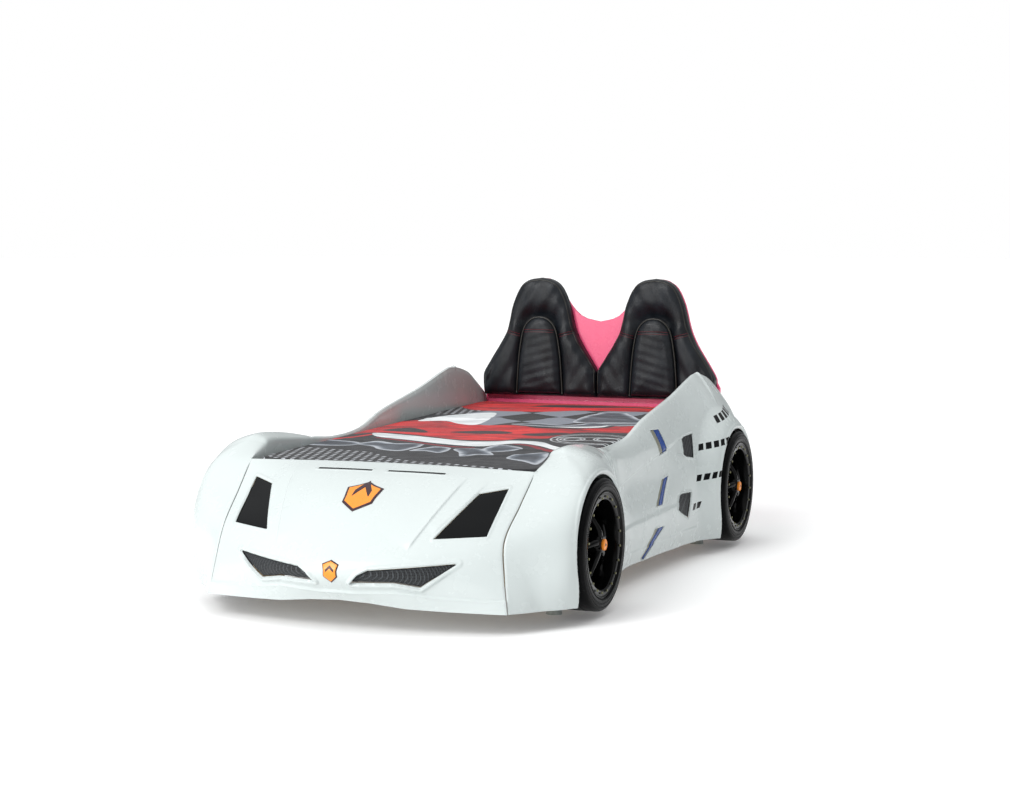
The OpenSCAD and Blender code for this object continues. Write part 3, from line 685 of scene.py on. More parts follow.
def wood_material(name, color, amount, stretch):
    mat, tree, b = material(name, color, 0.55, spec=0.3)
    coord = node(tree, "ShaderNodeTexCoord")
    place = node(tree, "ShaderNodeMapping", Scale=stretch)
    wave = node(tree, "ShaderNodeTexWave", Scale=6.0, Distortion=7.0, Detail=4.0)
    tree.links.new(coord.outputs["Object"], place.inputs["Vector"])
    tree.links.new(place.outputs[0], wave.inputs["Vector"])
    vary(tree, b, wave.outputs["Fac"], color, amount)
    rough_between(tree, b, noise(tree, 40, 5, 0.6, stretch), 0.45, 0.65)
    bump(tree, b, noise(tree, 220, 4, 0.6, stretch), 0.12, 0.0006)
    return mat


def steel_material():
    mat, tree, b = material("zinc_steel", (0.55, 0.56, 0.58), 0.32, metal=1.0)
    spangle = noise(tree, 160, 4)
    vary(tree, b, spangle, (0.55, 0.56, 0.58), 0.12)
    rough_between(tree, b, noise(tree, 420, 3), 0.24, 0.42)
    return mat


def cloth_material(name, color, scale=900.0):
    """Woven cotton: a fine over-and-under weave in the bump, with soft dirt and fading."""
    mat, tree, b = material(name, color, 0.8, spec=0.2, sheen=0.25)
    vary(tree, b, noise(tree, 9, 5), color, 0.05)
    bump(tree, b, weave_height(tree, scale), 0.35, 0.0008)
    return mat


def weave_height(tree, scale):
    coord = node(tree, "ShaderNodeTexCoord")
    total = None
    for axis in ("X", "Y"):
        wave = node(tree, "ShaderNodeTexWave", Scale=scale / 6.0)
        wave.bands_direction = axis
        tree.links.new(coord.outputs["Object"], wave.inputs["Vector"])
        if total is None:
            total = wave.outputs["Fac"]
        else:
            both = node(tree, "ShaderNodeMath", operation="MULTIPLY")
            tree.links.new(total, both.inputs[0])
            tree.links.new(wave.outputs["Fac"], both.inputs[1])
            total = both.outputs[0]
    return total


LEATHER = leather_material()
SEAM_RED = plain_plastic("seam_thread", (0.16, 0.02, 0.03), 0.6, 0.1, 0.2, 300, spec=0.3)
PIPING = plain_plastic("piping", (0.016, 0.015, 0.012), 0.34, 0.06, 0.3, 60, spec=0.4)
# Red board lifted to pink all over: the board's own red with a painted sheen
RED_BOARD_PAINTED_SHEEN = plain_plastic("headboard_red", (0.84, 0.10, 0.22), 0.26, 0.05, 0.05, 7, spec=0.4)
TYRE = plain_plastic("tyre_black", (0.0022, 0.0023, 0.0026), 0.3, 0.05, 0.2, 30, spec=0.06)
RIM = plain_plastic("rim_black", (0.0018, 0.0019, 0.002), 0.12, 0.04, 0.2, 40, spec=0.10)
# Rivets' cream darkened all round: their own colour with painted shade
RIVET = plain_plastic("rivet_cream", (0.13, 0.125, 0.045), 0.4, 0.05, 0.3, 300, spec=0.3)
BOARD = wood_material("melamine_board", (0.62, 0.50, 0.36), 0.12, (14, 0.8, 14))
SOFTWOOD = wood_material("softwood", (0.66, 0.50, 0.30), 0.22, (0.7, 12, 12))
PLASTIC = plain_plastic("matte_black", (0.014, 0.014, 0.015), 0.55, 0.08, 0.2, 50, spec=0.3, grain=0.3)
FOOT = plain_plastic("foot_plastic", (0.62, 0.68, 0.66), 0.4, 0.08, 0.06, 60, grain=0.2)
STEEL = steel_material()
TICKING = cloth_material("mattress_ticking", (0.70, 0.70, 0.67))

for names, mat in (
        (("rear_panel",), WHITE), (("headboard", "rear_bulkhead"), RED_BOARD_PAINTED_SHEEN),
        (("left_side_rail", "right_side_rail", "front_bulkhead"), BOARD),
        (("ledge_strips", "slats", "leg_blocks"), SOFTWOOD), (("slat_holders", "wheel_liners"), PLASTIC),
        (("corner_brackets", "leg_bolts", "panel_screws", "seat_bolts", "headboard_screws", "wheel_bolts",
          "front_left_stem", "front_right_stem", "rear_left_stem", "rear_right_stem"), STEEL),
        (("front_left_foot", "front_right_foot", "rear_left_foot", "rear_right_foot"), FOOT),
        (("rim_rivets",), RIVET)):
    for name in names:
        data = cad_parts[name].data
        data.materials.clear()
        data.materials.append(mat)

# ---- badges -----------------------------------------------------------------------------------

def badge(name, ring, cad, lift, mark):
    """Shield that follows the panel: dark border, orange field and a plain chevron."""
    ring = np.array(ring, float)
    centre = ring.mean(0)
    x0, z0 = ring.min(0) - 3
    x1, z1 = ring.max(0) + 3
    w = np.linspace(0, 1, 400)
    middle = front_surface(np.zeros(400), w)
    s = np.linspace(x0, x1, 61) / 458
    t = np.linspace(np.interp(-z1, -middle[:, 2], w), np.interp(-z0, -middle[:, 2], w), 61)
    u, v = np.meshgrid(s, t, indexing="ij")
    inner = (centre + (ring - centre) * 0.86).tolist()
    rings = [ring.tolist(), inner, (centre + (np.array(mark) * (x1 - x0))).tolist()]
    sds = [snap(front_surface, u, v, xz, r) for r in rings]
    p = front_surface(u, v)
    n = normals(p)
    rise = lift - 1.8 * smooth(1 + sds[0] / 3.0) + 0.6 * smooth(-sds[1] / 2) + 0.7 * smooth(-sds[2] / 1.2)
    p = p + rise[..., None] * n
    parts = grid_faces(p.shape[:2], sds)
    for part, wanted, mat in (("border", [0, 2], DARK_TRIM), ("field", [1], ORANGE)):
        verts, faces = used_only(p, [f[np.isin(o, wanted)] for f, o in parts])
        ob = piece(f"{name}_{part}", verts, faces, mat)
        thicken(ob, 2.6)
    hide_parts(cad)


CHEVRON = [[-0.22, 0.06], [0, 0.26], [0.22, 0.06], [0.22, -0.07], [0, 0.12], [-0.22, -0.07]]
badge("hood_badge", HOOD_BADGE, "hood_badge", 2.9, CHEVRON)
badge("nose_badge", NOSE_BADGE, "nose_badge", 2.9, CHEVRON)

# ---- solids of revolution and tubes --------------------------------------------------------------

def lathe(name, section, steps, place, mirror, mat, angle=35):
    """Ring section [radius, x] turned round a wheel's axle."""
    section = np.array(section, float)
    k = len(section)
    a = np.linspace(0, 2 * math.pi, steps, endpoint=False)
    r, x = section[:, 0], section[:, 1]
    verts = np.stack([np.broadcast_to(x, (steps, k)), place[0] + np.outer(np.cos(a), r),
                      place[1] + np.outer(np.sin(a), r)], -1).reshape(-1, 3)
    faces = []
    for i in range(steps):
        j = (i + 1) % steps
        for m in range(k):
            q = (m + 1) % k
            faces.append((i * k + m, j * k + m, j * k + q, i * k + q))
    ob = piece(name, verts, faces, mat, mirror=mirror)
    tidy_normals(ob, angle)
    return ob


def tidy_normals(ob, angle):
    bm = bmesh.new()
    bm.from_mesh(ob.data)
    bmesh.ops.remove_doubles(bm, verts=bm.verts, dist=0.00002)
    bmesh.ops.recalc_face_normals(bm, faces=bm.faces)
    bm.to_mesh(ob.data)
    bm.free()
    ob.data.set_sharp_from_angle(angle=math.radians(angle))


def tube(points, radius, closed=False, sides=8):
    """Round bar along points, with its ends closed."""
    p = np.asarray(points, float)
    if closed:
        d = np.roll(p, -1, 0) - np.roll(p, 1, 0)
    else:
        d = np.gradient(p, axis=0)
    d /= np.linalg.norm(d, axis=1, keepdims=True)
    side = np.cross(d, np.broadcast_to([0.13, -0.99, 0.06], d.shape))
    side /= np.linalg.norm(side, axis=1, keepdims=True)
    up = np.cross(side, d)
    a = np.linspace(0, 2 * math.pi, sides, endpoint=False)
    r = np.broadcast_to(radius, (len(p),))[:, None, None]
    v = p[:, None] + r * (np.cos(a)[None, :, None] * side[:, None] + np.sin(a)[None, :, None] * up[:, None])
    n, faces = len(p), []
    for i in range(n if closed else n - 1):
        j = (i + 1) % n
        for m in range(sides):
            q = (m + 1) % sides
            faces.append((i * sides + m, i * sides + q, j * sides + q, j * sides + m))
    if not closed:
        faces.append(tuple(range(sides)))
        faces.append(tuple((n - 1) * sides + m for m in reversed(range(sides))))
    return v.reshape(-1, 3), faces


def joined(parts):
    verts, faces, at = [], [], 0
    for v, f in parts:
        verts.append(np.asarray(v, float))
        faces += [tuple(i + at for i in q) for q in f]
        at += len(v)
    return np.concatenate(verts), faces


# ---- wheels -----------------------------------------------------------------------------------

TYRE_SECTION = [
    [156.4, 506], [183, 506], [193, 511], [197, 520], [197, 534], [195.6, 535], [195.6, 538], [197, 539],
    [197, 562], [195.6, 563], [195.6, 566], [197, 567], [197, 592], [195.6, 593], [195.6, 596], [197, 597], [197, 618],
    [196.4, 624], [194, 629.5], [190, 632.6], [185.5, 633.6], [183.5, 632.4], [181.8, 633.4], [178, 634.2],
    [174.4, 634.6], [173, 633.4], [171.4, 634.6], [167, 634.8], [163, 634.2], [160.4, 632.6], [159.4, 629.6],
    [156.4, 627]]
RIM_SECTION = [
    [131, 504], [154, 504], [156, 512], [156, 626], [158.6, 629.4], [157.6, 632.2], [155, 633.4], [152, 632.4],
    [150.4, 630.6], [136, 629.6], [133.6, 628.2], [132.4, 625], [131, 600], [129.4, 594], [128, 560]]
HUB_SECTION = [
    [0.01, 560], [34, 560], [33, 600], [30, 617], [27, 624.5], [24.5, 628], [20, 629.4], [0.01, 629.4]]
CAP_SECTION = [[0.01, 628.6], [17, 628.6], [17, 634], [16, 635.6], [14.6, 635.2], [13.8, 634.6], [12.4, 635.4],
               [7, 636.4], [0.01, 636.8]]


def spoke(centre, k):
    """One curved spoke from the hub out and down to the rim."""
    n = 26
    w = np.linspace(0, 1, n)
    r = 22 + (134 - 22) * w
    bend = math.radians(90 + 72 * k) + 0.30 * np.sin(math.pi * w) * (0.4 + w)
    x = 625 - 30 * smooth(w * 1.1)
    half = 7.2 + 4.5 * (1 - w) ** 2 + 5.5 * smooth((w - 0.7) / 0.3)
    deep = 11 + 7 * w
    out = np.stack([np.cos(bend), np.sin(bend)], 1)
    side = np.stack([-np.sin(bend), np.cos(bend)], 1)
    right = [(0.3, 0.16), (0.72, 0.0), (1.0, -0.3), (1.0, -0.9)]
    ring = [(-a, b) for a, b in reversed(right)] + right
    verts = []
    for i in range(n):
        for a, b in ring:
            q = out[i] * r[i] + side[i] * a * half[i]
            verts.append([x[i] + b * deep[i], centre[0] + q[0], centre[1] + q[1]])
    m, faces = len(ring), []
    for i in range(n - 1):
        for j in range(m):
            q = (j + 1) % m
            faces.append((i * m + j, (i + 1) * m + j, (i + 1) * m + q, i * m + q))
    faces.append(tuple(reversed(range(m))))
    faces.append(tuple((n - 1) * m + j for j in range(m)))
    return verts, faces


SIX_WALLS = [(i, (i + 1) % 6, (i + 1) % 6 + 6, i + 6) for i in range(6)]
NUT_X = (608, 629)
NUT_R = 4.2
NUT_CIRCLE = 24


def nut(centre, k):
    """Six-sided nut between two spokes."""
    a = math.radians(54 + 72 * k)
    y, z = centre[0] + NUT_CIRCLE * math.cos(a), centre[1] + NUT_CIRCLE * math.sin(a)
    corners = [math.pi / 3 * j for j in range(6)]
    verts = [[x, y + NUT_R * math.cos(c), z + NUT_R * math.sin(c)] for x in NUT_X for c in corners]
    return verts, SIX_WALLS + [tuple(range(6, 12)), tuple(range(5, -1, -1))]


for end, y in (("front", WHEEL_Y[0]), ("rear", WHEEL_Y[1])):
    for hand, mirror in (("right", False), ("left", True)):
        name = f"{end}_{hand}"
        place = (y, WHEEL_Z)
        ob = lathe(name + "_tyre_body", TYRE_SECTION, 128, place, mirror, TYRE, 30)
        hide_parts(name + "_tyre")
        ob = lathe(name + "_rim_barrel", RIM_SECTION, 128, place, mirror, RIM, 30)
        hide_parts(name + "_rim")
        verts, faces = joined([spoke(place, k) for k in range(5)])
        piece(name + "_spokes", verts, faces, RIM, mirror=mirror, angle=50)
        lathe(name + "_hub", HUB_SECTION, 64, place, mirror, RIM, 30)
        back = [[0.01, 503], [131, 503], [131, 506], [0.01, 506]]
        lathe(name + "_wheel_back", back, 64, place, mirror, PLASTIC, 30)
        ob = lathe(name + "_cap", CAP_SECTION, 64, place, mirror, ORANGE, 30)
        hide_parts(name + "_hub_cap")
        mark = [[635.6, y + 30 * a, WHEEL_Z - 2 + 27 * b] for a, b in CHEVRON]
        mark += [[637.2, q[1], q[2]] for q in mark]
        piece(name + "_cap_mark", mark, [(0, 1, 4, 5), (1, 2, 3, 4), (11, 10, 7, 6), (10, 9, 8, 7)] + SIX_WALLS,
              DARK_TRIM, mirror=mirror, angle=20)
        verts, faces = joined([nut(place, k) for k in range(5)])
        piece(name + "_nuts", verts, faces, RIM, mirror=mirror, angle=20)

# ---- seats --------------------------------------------------------------------------------------

SEAT_X = 228
SEAT_SIDE = np.array([[232, 495], [235, 530], [234, 575], [207, 625], [161, 699], [134, 761], [112, 848],
                      [82, 911], [46, 938], [0, 946.5]], float)
INSERT_HALF = np.array([[93, 506], [90, 560], [84, 640], [76, 700], [66, 745], [50, 774], [26, 792], [0, 797]],
                       float)


def both(points):
    return np.concatenate([points, (points * [-1, 1])[::-1][1:]])


def rows_between(half, nx, nz, left_limit=1e9, right_limit=1e9):
    """Grid of [x, z] inside an outline given by its right half, from the bottom row to the crown."""
    w = even(lambda k: curve(half, k), nz)
    line = curve(half, w)
    s = np.sin(0.5 * math.pi * np.linspace(-1, 1, nx + 1))
    lo, hi = -np.minimum(line[:, 0], left_limit), np.minimum(line[:, 0], right_limit)
    x = 0.5 * (lo + hi)[:, None] + 0.5 * (hi - lo)[:, None] * s[None, :]
    z = np.broadcast_to(line[:, 1][:, None], x.shape)
    edge = both(curve(half, np.linspace(0, 1, 90)))
    edge[:, 0] = np.clip(edge[:, 0], -left_limit, right_limit)
    return np.stack([x, z], -1), edge


def bowl(name, q, y_front, y_back, cx, mat, hand):
    """Closed pad between a front surface and a flat back."""
    nz, nx = q.shape[:2]
    m = nz * nx
    front_v = np.stack([q[..., 0] + cx, y_front, q[..., 1]], -1).reshape(-1, 3)
    back_v = np.stack([q[..., 0] + cx, np.full(q.shape[:2], y_back), q[..., 1]], -1).reshape(-1, 3)
    index = np.arange(m).reshape(nz, nx)
    a = np.stack([index[:-1, :-1], index[:-1, 1:], index[1:, 1:], index[1:, :-1]], -1).reshape(-1, 4)
    faces = [tuple(f) for f in a] + [tuple((f + m)[::-1]) for f in a]
    loop = list(index[0, :]) + list(index[1:, -1]) + list(index[-1, -2::-1]) + list(index[-2:0:-1, 0])
    faces += [(i, i + m, j + m, j) for i, j in zip(loop, loop[1:] + loop[:1])]
    ob = piece(name, np.concatenate([front_v, back_v]), faces, mat, mirror=hand == "left")
    tidy_normals(ob, 60)
    return ob


def bolster_seam(x):
    return 744 - 0.28 * (140 - np.abs(x))


def insert_seam(x):
    return 746 - 0.0006 * x * x


def seat_depth(q, edge, arch):
    """Depth of the seat's front face ahead of its back, in millimetres."""
    x, z = q[..., 0], q[..., 1]
    out = -outline_distance(edge, q)[0]
    from_arch = outline_distance(arch, q)[0]
    roll = np.sqrt(np.clip(1 - (1 - np.clip(out / 34, 0, 1)) ** 2, 0, 1))
    h = 22 + 24 * roll
    h += 7.5 * smooth((z - 800) / 70) * smooth(out / 60)
    # Side bolsters stand up between the arch and the outer edge
    fraction = np.clip(from_arch / np.maximum(from_arch + out, 1), 0, 1)
    low = smooth((800 - z) / 60)
    h += 9.5 * np.sin(math.pi * fraction) * low * (from_arch > 0)
    pinch = np.exp(-((z - 742) / 26) ** 2)
    h -= 5 * pinch * smooth(from_arch / 14) * low
    # Valley round the arch, widest over its top
    over = smooth((z - 738) / 50)
    reach = 11 + 24 * over
    h -= (15 + 9 * over) * np.exp(-(np.maximum(from_arch, 0) / reach) ** 2)
    h = np.where(from_arch < 0, np.minimum(h, 27 + 2 * smooth(-from_arch / 8)), h)
    # Seam across each bolster, sloping in towards the arch
    h -= 3.2 * ridge(z - bolster_seam(x), 3.0) * smooth(from_arch / 6) * smooth(out / 5)
    # Soft hollows and creases of use
    h += 1.6 * np.sin(x * 0.043 + 1.3) * np.sin(z * 0.031) + 0.9 * np.sin(x * 0.11 + z * 0.07)
    h -= 4.0 * ridge((x + 0.45 * (z - 560) - 205), 9) * smooth((640 - z) / 40) * smooth((z - 520) / 40)
    return np.clip(h, 12, 57.2)


BACK_Y = 1130.5
seat_q, seat_edge = rows_between(SEAT_SIDE, 110, 150, 226.5, 235)
arch_ring = both(curve(INSERT_HALF, np.linspace(0, 1, 60)))
insert_q, _ = rows_between(INSERT_HALF - [3.5, 0], 56, 80)
ins_edge = both(curve(INSERT_HALF - [3.5, 0], np.linspace(0, 1, 60)))


def insert_depth(q):
    x, z = q[..., 0], q[..., 1]
    inside = -outline_distance(ins_edge, q)[0]
    roll = np.sqrt(np.clip(1 - (1 - np.clip(inside / 26, 0, 1)) ** 2, 0, 1))
    h = 36 + 21 * roll + 6.5 * smooth(inside / 70)
    h -= 2.6 * ridge(z - insert_seam(x), 2.6) * smooth(inside / 5)
    h += 1.1 * np.sin(z * 0.052 + 0.6) * np.sin(x * 0.035 + 0.4) + 0.5 * np.sin(z * 0.19 + x * 0.05)
    return h


def stitch_line(path, pitch, length, radius):
    """Short thread stitches along a path."""
    far = np.concatenate([[0], np.cumsum(np.linalg.norm(np.diff(path, axis=0), axis=1))])
    parts = []
    at = pitch / 2
    while at + length < far[-1]:
        w = np.linspace(at, at + length, 4)
        p = np.stack([np.interp(w, far, path[:, i]) for i in range(3)], -1)
        p[1:-1, 1] -= radius * 0.9
        parts.append(tube(p, radius, sides=5))
        at += pitch
    return parts


def on_seat(line, extra):
    y = BACK_Y - seat_depth(line, seat_edge, arch_ring) - extra
    return np.stack([line[:, 0] + SEAT_X, y, line[:, 1]], -1)


STITCH_OFFSET = 4.6
depth = seat_depth(seat_q, seat_edge, arch_ring)
for hand in ("left", "right"):
    ob = bowl(f"{hand}_seat_cover", seat_q, BACK_Y - depth, BACK_Y, SEAT_X, LEATHER, hand)
    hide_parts(f"{hand}_seat_back")
    ob = bowl(f"{hand}_insert_cushion", insert_q, BACK_Y - insert_depth(insert_q), BACK_Y - 24, SEAT_X, LEATHER,
              hand)
    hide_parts(f"{hand}_seat_insert")
    flipped = hand == "left"
    pipe = np.stack([arch_ring[:, 0] + SEAT_X, np.full(len(arch_ring), BACK_Y - 41.0), arch_ring[:, 1]], -1)
    verts, faces = tube(pipe, 3.4)
    piece(f"{hand}_insert_piping", verts, faces, PIPING, mirror=flipped)
    centre = seat_edge.mean(0)
    ring_in = seat_edge + (centre - seat_edge) / np.linalg.norm(centre - seat_edge, axis=1, keepdims=True) * 8.0
    pipe = on_seat(ring_in[4:-4], -0.5)
    verts, faces = tube(pipe, 2.3)
    piece(f"{hand}_edge_piping", verts, faces, PIPING, mirror=flipped)
    # Double red stitching across the bolsters and the insert
    parts = []
    for off in (-STITCH_OFFSET, STITCH_OFFSET):
        for sign in (-1, 1):
            k = np.linspace(0, 1, 20)
            x = sign * (79 + 55 * k)
            path = on_seat(np.stack([x, bolster_seam(x) + off], -1), 0.3)
            parts += stitch_line(path, 5.0, 3.6, 0.75)
        x = np.linspace(-60, 60, 40)
        q = np.stack([x, insert_seam(x) + off], -1)
        y = BACK_Y - insert_depth(q) - 0.3
        parts += stitch_line(np.stack([x + SEAT_X, y, q[:, 1]], -1), 5.0, 3.6, 0.75)
    verts, faces = joined(parts)
    piece(f"{hand}_seat_stitches", verts, faces, SEAM_RED, mirror=flipped)

# ---- mattress ------------------------------------------------------------------------------------

MAT_X, MAT_Y0, MAT_Y1 = 447, -744, 1050
FOOT_TOP, HEAD_TOP = 439, 469


def mattress_top(y):
    return FOOT_TOP + (HEAD_TOP - FOOT_TOP) * np.clip((y - MAT_Y0) / (MAT_Y1 - MAT_Y0), 0, 1)


def rounded_box_grid(nx, ny, nz, bottom):
    """Closed box with rounded long edges: a stack of rounded rings from the bottom to the top."""
    parts = []
    corner, lip = 46.0, 17.0
    a = np.linspace(0, 0.5 * math.pi, 9)
    arcs = []
    hx, hy = MAT_X - corner, 0.5 * (MAT_Y1 - MAT_Y0) - corner
    cy = 0.5 * (MAT_Y0 + MAT_Y1)
    xs = np.linspace(-1, 1, nx)
    ys = np.linspace(-1, 1, ny)
    ring = []
    ring += [[hx * k, -hy - corner] for k in xs]
    ring += [[hx + corner * math.sin(k), -hy - corner * math.cos(k)] for k in a[1:-1]]
    ring += [[hx + corner, hy * k] for k in ys]
    ring += [[hx + corner * math.cos(k), hy + corner * math.sin(k)] for k in a[1:-1]]
    ring += [[hx * k, hy + corner] for k in xs[::-1]]
    ring += [[-hx - corner * math.sin(k), hy + corner * math.cos(k)] for k in a[1:-1]]
    ring += [[-hx - corner, hy * k] for k in ys[::-1]]
    ring += [[-hx - corner * math.cos(k), -hy - corner * math.sin(k)] for k in a[1:-1]]
    ring = np.array(ring)
    inward = (ring - np.clip(ring, [-hx, -hy], [hx, hy])) / corner
    levels = []
    for k in np.linspace(0, 0.5 * math.pi, 6):
        levels.append((lip * (1 - math.sin(k)), 0.0, lip * (1 - math.cos(k)), 0))
    for f in np.linspace(0.1, 0.9, nz):
        levels.append((1.5 * (1 - math.sin(math.pi * f)), f, 0, 1))
    for k in np.linspace(0.5 * math.pi, 0, 6):
        levels.append((lip * (1 - math.sin(k)), 1.0, -lip * (1 - math.cos(k)), 2))
    for pull in (60, 130, 220, 320, 400):
        levels.append((lip + pull, 1.0, 0, 3))
    verts = []
    for inset, f, dz, kind in levels:
        q = ring - inward * inset if kind < 3 else ring * np.array([max(0.0, 1 - inset / MAT_X)] * 2)
        y = q[:, 1] + cy
        top = mattress_top(y)
        if kind == 0:
            z = np.full(len(y), bottom + dz)
        elif kind == 1:
            z = (bottom + lip) + ((top - lip) - (bottom + lip)) * (f - 0.1) / 0.8
        elif kind == 2:
            z = top + dz
        else:
            z = top + 0.6 * np.sin(q[:, 0] * 0.04) * np.sin(y * 0.03)
        verts.append(np.stack([q[:, 0], y, z], -1))
    n, m = len(levels), len(ring)
    verts = np.concatenate(verts)
    faces = [(i * m + j, i * m + (j + 1) % m, (i + 1) * m + (j + 1) % m, (i + 1) * m + j)
             for i in range(n - 1) for j in range(m)]
    faces.append(tuple(reversed(range(m))))
    faces.append(tuple((n - 1) * m + j for j in range(m)))
    return verts, faces, ring, inward, cy


verts, faces, mat_ring, mat_in, mat_cy = rounded_box_grid(24, 48, 8, 301)
mattress = piece("mattress_body", verts, faces, TICKING, body="mattress_set", angle=60)
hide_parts("mattress")
for level, height in (("lower", 314), ("upper", -13)):
    q = mat_ring - mat_in
    y = q[:, 1] + mat_cy
    z = np.full(len(y), float(height)) if height > 0 else mattress_top(y) + height
    verts, faces = tube(np.stack([q[:, 0], y, z], -1), 2.6, closed=True, sides=6)
    piece(f"mattress_{level}_tape", verts, faces, TICKING, body="mattress_set")

# ---- bedspread -------------------------------------------------------------------------------------

SPREAD_HALF = np.array([442.0, 895.0])
SPREAD_MID = np.array([0.0, 153.0])
SPREAD_DROP = 92.0
EDGE_R = np.array([14.0, 7.0])
CORNER_R = 42.0
BEND = 11.0


def spread_point(a, b):
    """Place of a point of the flat cloth once it is laid over the mattress and tucked down all round."""
    flat = np.stack([a, b], -1)
    core = np.clip(flat, CORNER_R - SPREAD_HALF, SPREAD_HALF - CORNER_R)
    off = flat - core
    far = np.abs(off).max(-1)
    way = off / np.maximum(np.linalg.norm(off, axis=-1), 1e-6)[..., None]
    d = np.maximum(far - CORNER_R, 0)
    turn = np.clip(d / BEND, 0, 0.5 * math.pi)
    p = core + way * (np.minimum(far, CORNER_R)[..., None] + EDGE_R * np.sin(turn)[..., None]) + SPREAD_MID
    down = BEND * (1 - np.cos(turn)) + np.maximum(d - BEND * 0.5 * math.pi, 0)
    return p, mattress_top(p[..., 1]) + 2.6 - down


def spread_wrinkles(a, b):
    u, v = a * MM, b * MM
    h = 1.3 * np.sin(9 * u + 4 * np.sin(3.1 * v)) * np.sin(6.5 * v + 2.0 * np.sin(5 * u))
    for x0, y0, turn, long, wide, high in (
            (0.30, -0.62, 0.5, 0.22, 0.018, 3.4), (0.22, -0.50, 0.25, 0.20, 0.016, 2.6),
            (-0.20, -0.45, -0.3, 0.30, 0.020, 2.4), (0.05, 0.10, 0.15, 0.35, 0.024, 2.8),
            (0.25, 0.25, -0.5, 0.26, 0.018, 2.6), (-0.25, 0.30, 0.35, 0.28, 0.020, 2.6),
            (-0.05, 0.72, 0.05, 0.38, 0.022, 4.4), (0.10, 0.80, -0.06, 0.34, 0.018, 4.0),
            (-0.22, 0.78, 0.12, 0.24, 0.018, 3.8), (0.28, 0.62, 0.2, 0.22, 0.018, 3.0)):
        c, s = math.cos(turn), math.sin(turn)
        along = (u - x0) * c + (v - y0) * s
        across = -(u - x0) * s + (v - y0) * c
        h = h + high * np.exp(-(along / long) ** 2) * np.exp(-(across / wide) ** 2)
    return h


# Outlines of the print on the cloth, in centimetres: x from the bed's middle and the distance from the foot edge
PRINT = {
    "plate": [
        [(-60, -12), (-60, 24), (-42, 27), (-33, 26), (-26, 25), (-17, 21), (-5, 11), (4, 7), (20, 4), (40, 0),
         (60, -3), (60, -12)],
        [(-60, 130), (-60, 168), (-48, 166), (-38, 148), (-22, 149), (-17, 147), (-22, 139), (-40, 130)]],
    "grey": [
        [(-60, 36), (-50, 47), (-36, 46), (-30, 41), (-32, 35), (-42, 33)],
        [(-31, 40), (-27, 47), (-18, 43), (-9, 44), (-8, 33), (-10, 26), (-18, 29), (-23, 35)],
        [(-7, 28), (-4, 39), (3, 38), (4, 27), (-2, 29)],
        [(5, 36), (12, 40), (22, 27), (17, 26), (14, 20), (9, 30)],
        [(13, 40), (14, 51), (23, 47), (25, 40), (18, 33)],
        [(28, 22), (31, 33), (36, 37), (40, 24), (42, 11), (36, 16)],
        [(14, 120), (12, 142), (18, 154), (26, 148), (35, 134), (46, 128), (30, 124), (22, 119)],
        [(-4, 107), (4, 113), (14, 111), (22, 118), (40, 126), (50, 124), (36, 116), (26, 108), (16, 103)]],
    "red": [
        [(-60, 38), (-60, 104), (-44, 106), (-36, 114), (-28, 108), (-12, 102), (-2, 105), (8, 98), (20, 100),
         (28, 104), (38, 115), (60, 118), (60, 96), (38, 96), (26, 90), (23, 74), (14, 70), (10, 62), (-4, 61),
         (-20, 67), (-36, 71), (-37, 62), (-43, 50)],
        [(-60, 160), (-60, 205), (60, 205), (60, 158), (30, 160), (6, 157), (-12, 148), (-34, 146), (-48, 162)]],
    "dark": [
        [(-39, 77), (-34, 87), (-25, 81), (-23, 75)],
        [(-15, 79), (-1, 87), (6, 83), (-2, 77)],
        [(-56, 56), (-46, 64), (-38, 70), (-40, 60), (-46, 52)],
        [(10, 82), (22, 88), (26, 84), (16, 78)],
        [(-20, 165), (6, 176), (34, 172), (8, 168)],
        [(-40, 178), (-10, 186), (20, 184), (-10, 180)]],
    "white": [
        [(-38, 69), (-24, 66), (-12, 62), (0, 58), (9, 59), (15, 64), (24, 63), (31, 55), (42, 44), (38, 42),
         (27, 53), (19, 57), (14, 52), (9, 46), (-6, 49), (-19, 54), (-33, 60)],
        [(-39, 106), (-38, 122), (-31, 134), (-22, 138), (-15, 104), (-22, 103), (-30, 110)],
        [(10, 104), (20, 108), (30, 112), (24, 104), (16, 102)]],
    "thread": [
        [(-31, 57.5), (-17, 51.5), (-2, 44.5), (8, 43.5), (8, 42), (-2, 42.5), (-17, 49.5), (-31, 56)],
        [(16, 55), (24, 54), (34, 44), (44, 36), (33, 41), (24, 51)]],
    "chequer": [
        [(-32, 138), (-20, 148), (-8, 154), (10, 156), (24, 160), (60, 158), (60, 130), (34, 134), (22, 116),
         (0, 108), (-14, 103)]]
}
MOTIF = [((37, 75), 13.5), ((37, 75), 11.5), ((42, 76), 4.6), ((42, 76), 3.4), ((31, 73), 4.0), ((31, 73), 2.8)]
MOTIF_LINES = [[(24, 76), (50, 82)], [(25, 70), (49, 72)], [(28, 66), (47, 64)]]


def rounded(ring, n=8):
    """Flowing closed outline through the points of ring."""
    p = np.array(ring, float)
    a, b, c, d = np.roll(p, 1, 0), p, np.roll(p, -1, 0), np.roll(p, -2, 0)
    out = [through(a, b, c, d, k) for k in np.linspace(0, 1, n, endpoint=False)]
    return np.stack(out, 1).reshape(-1, 2)


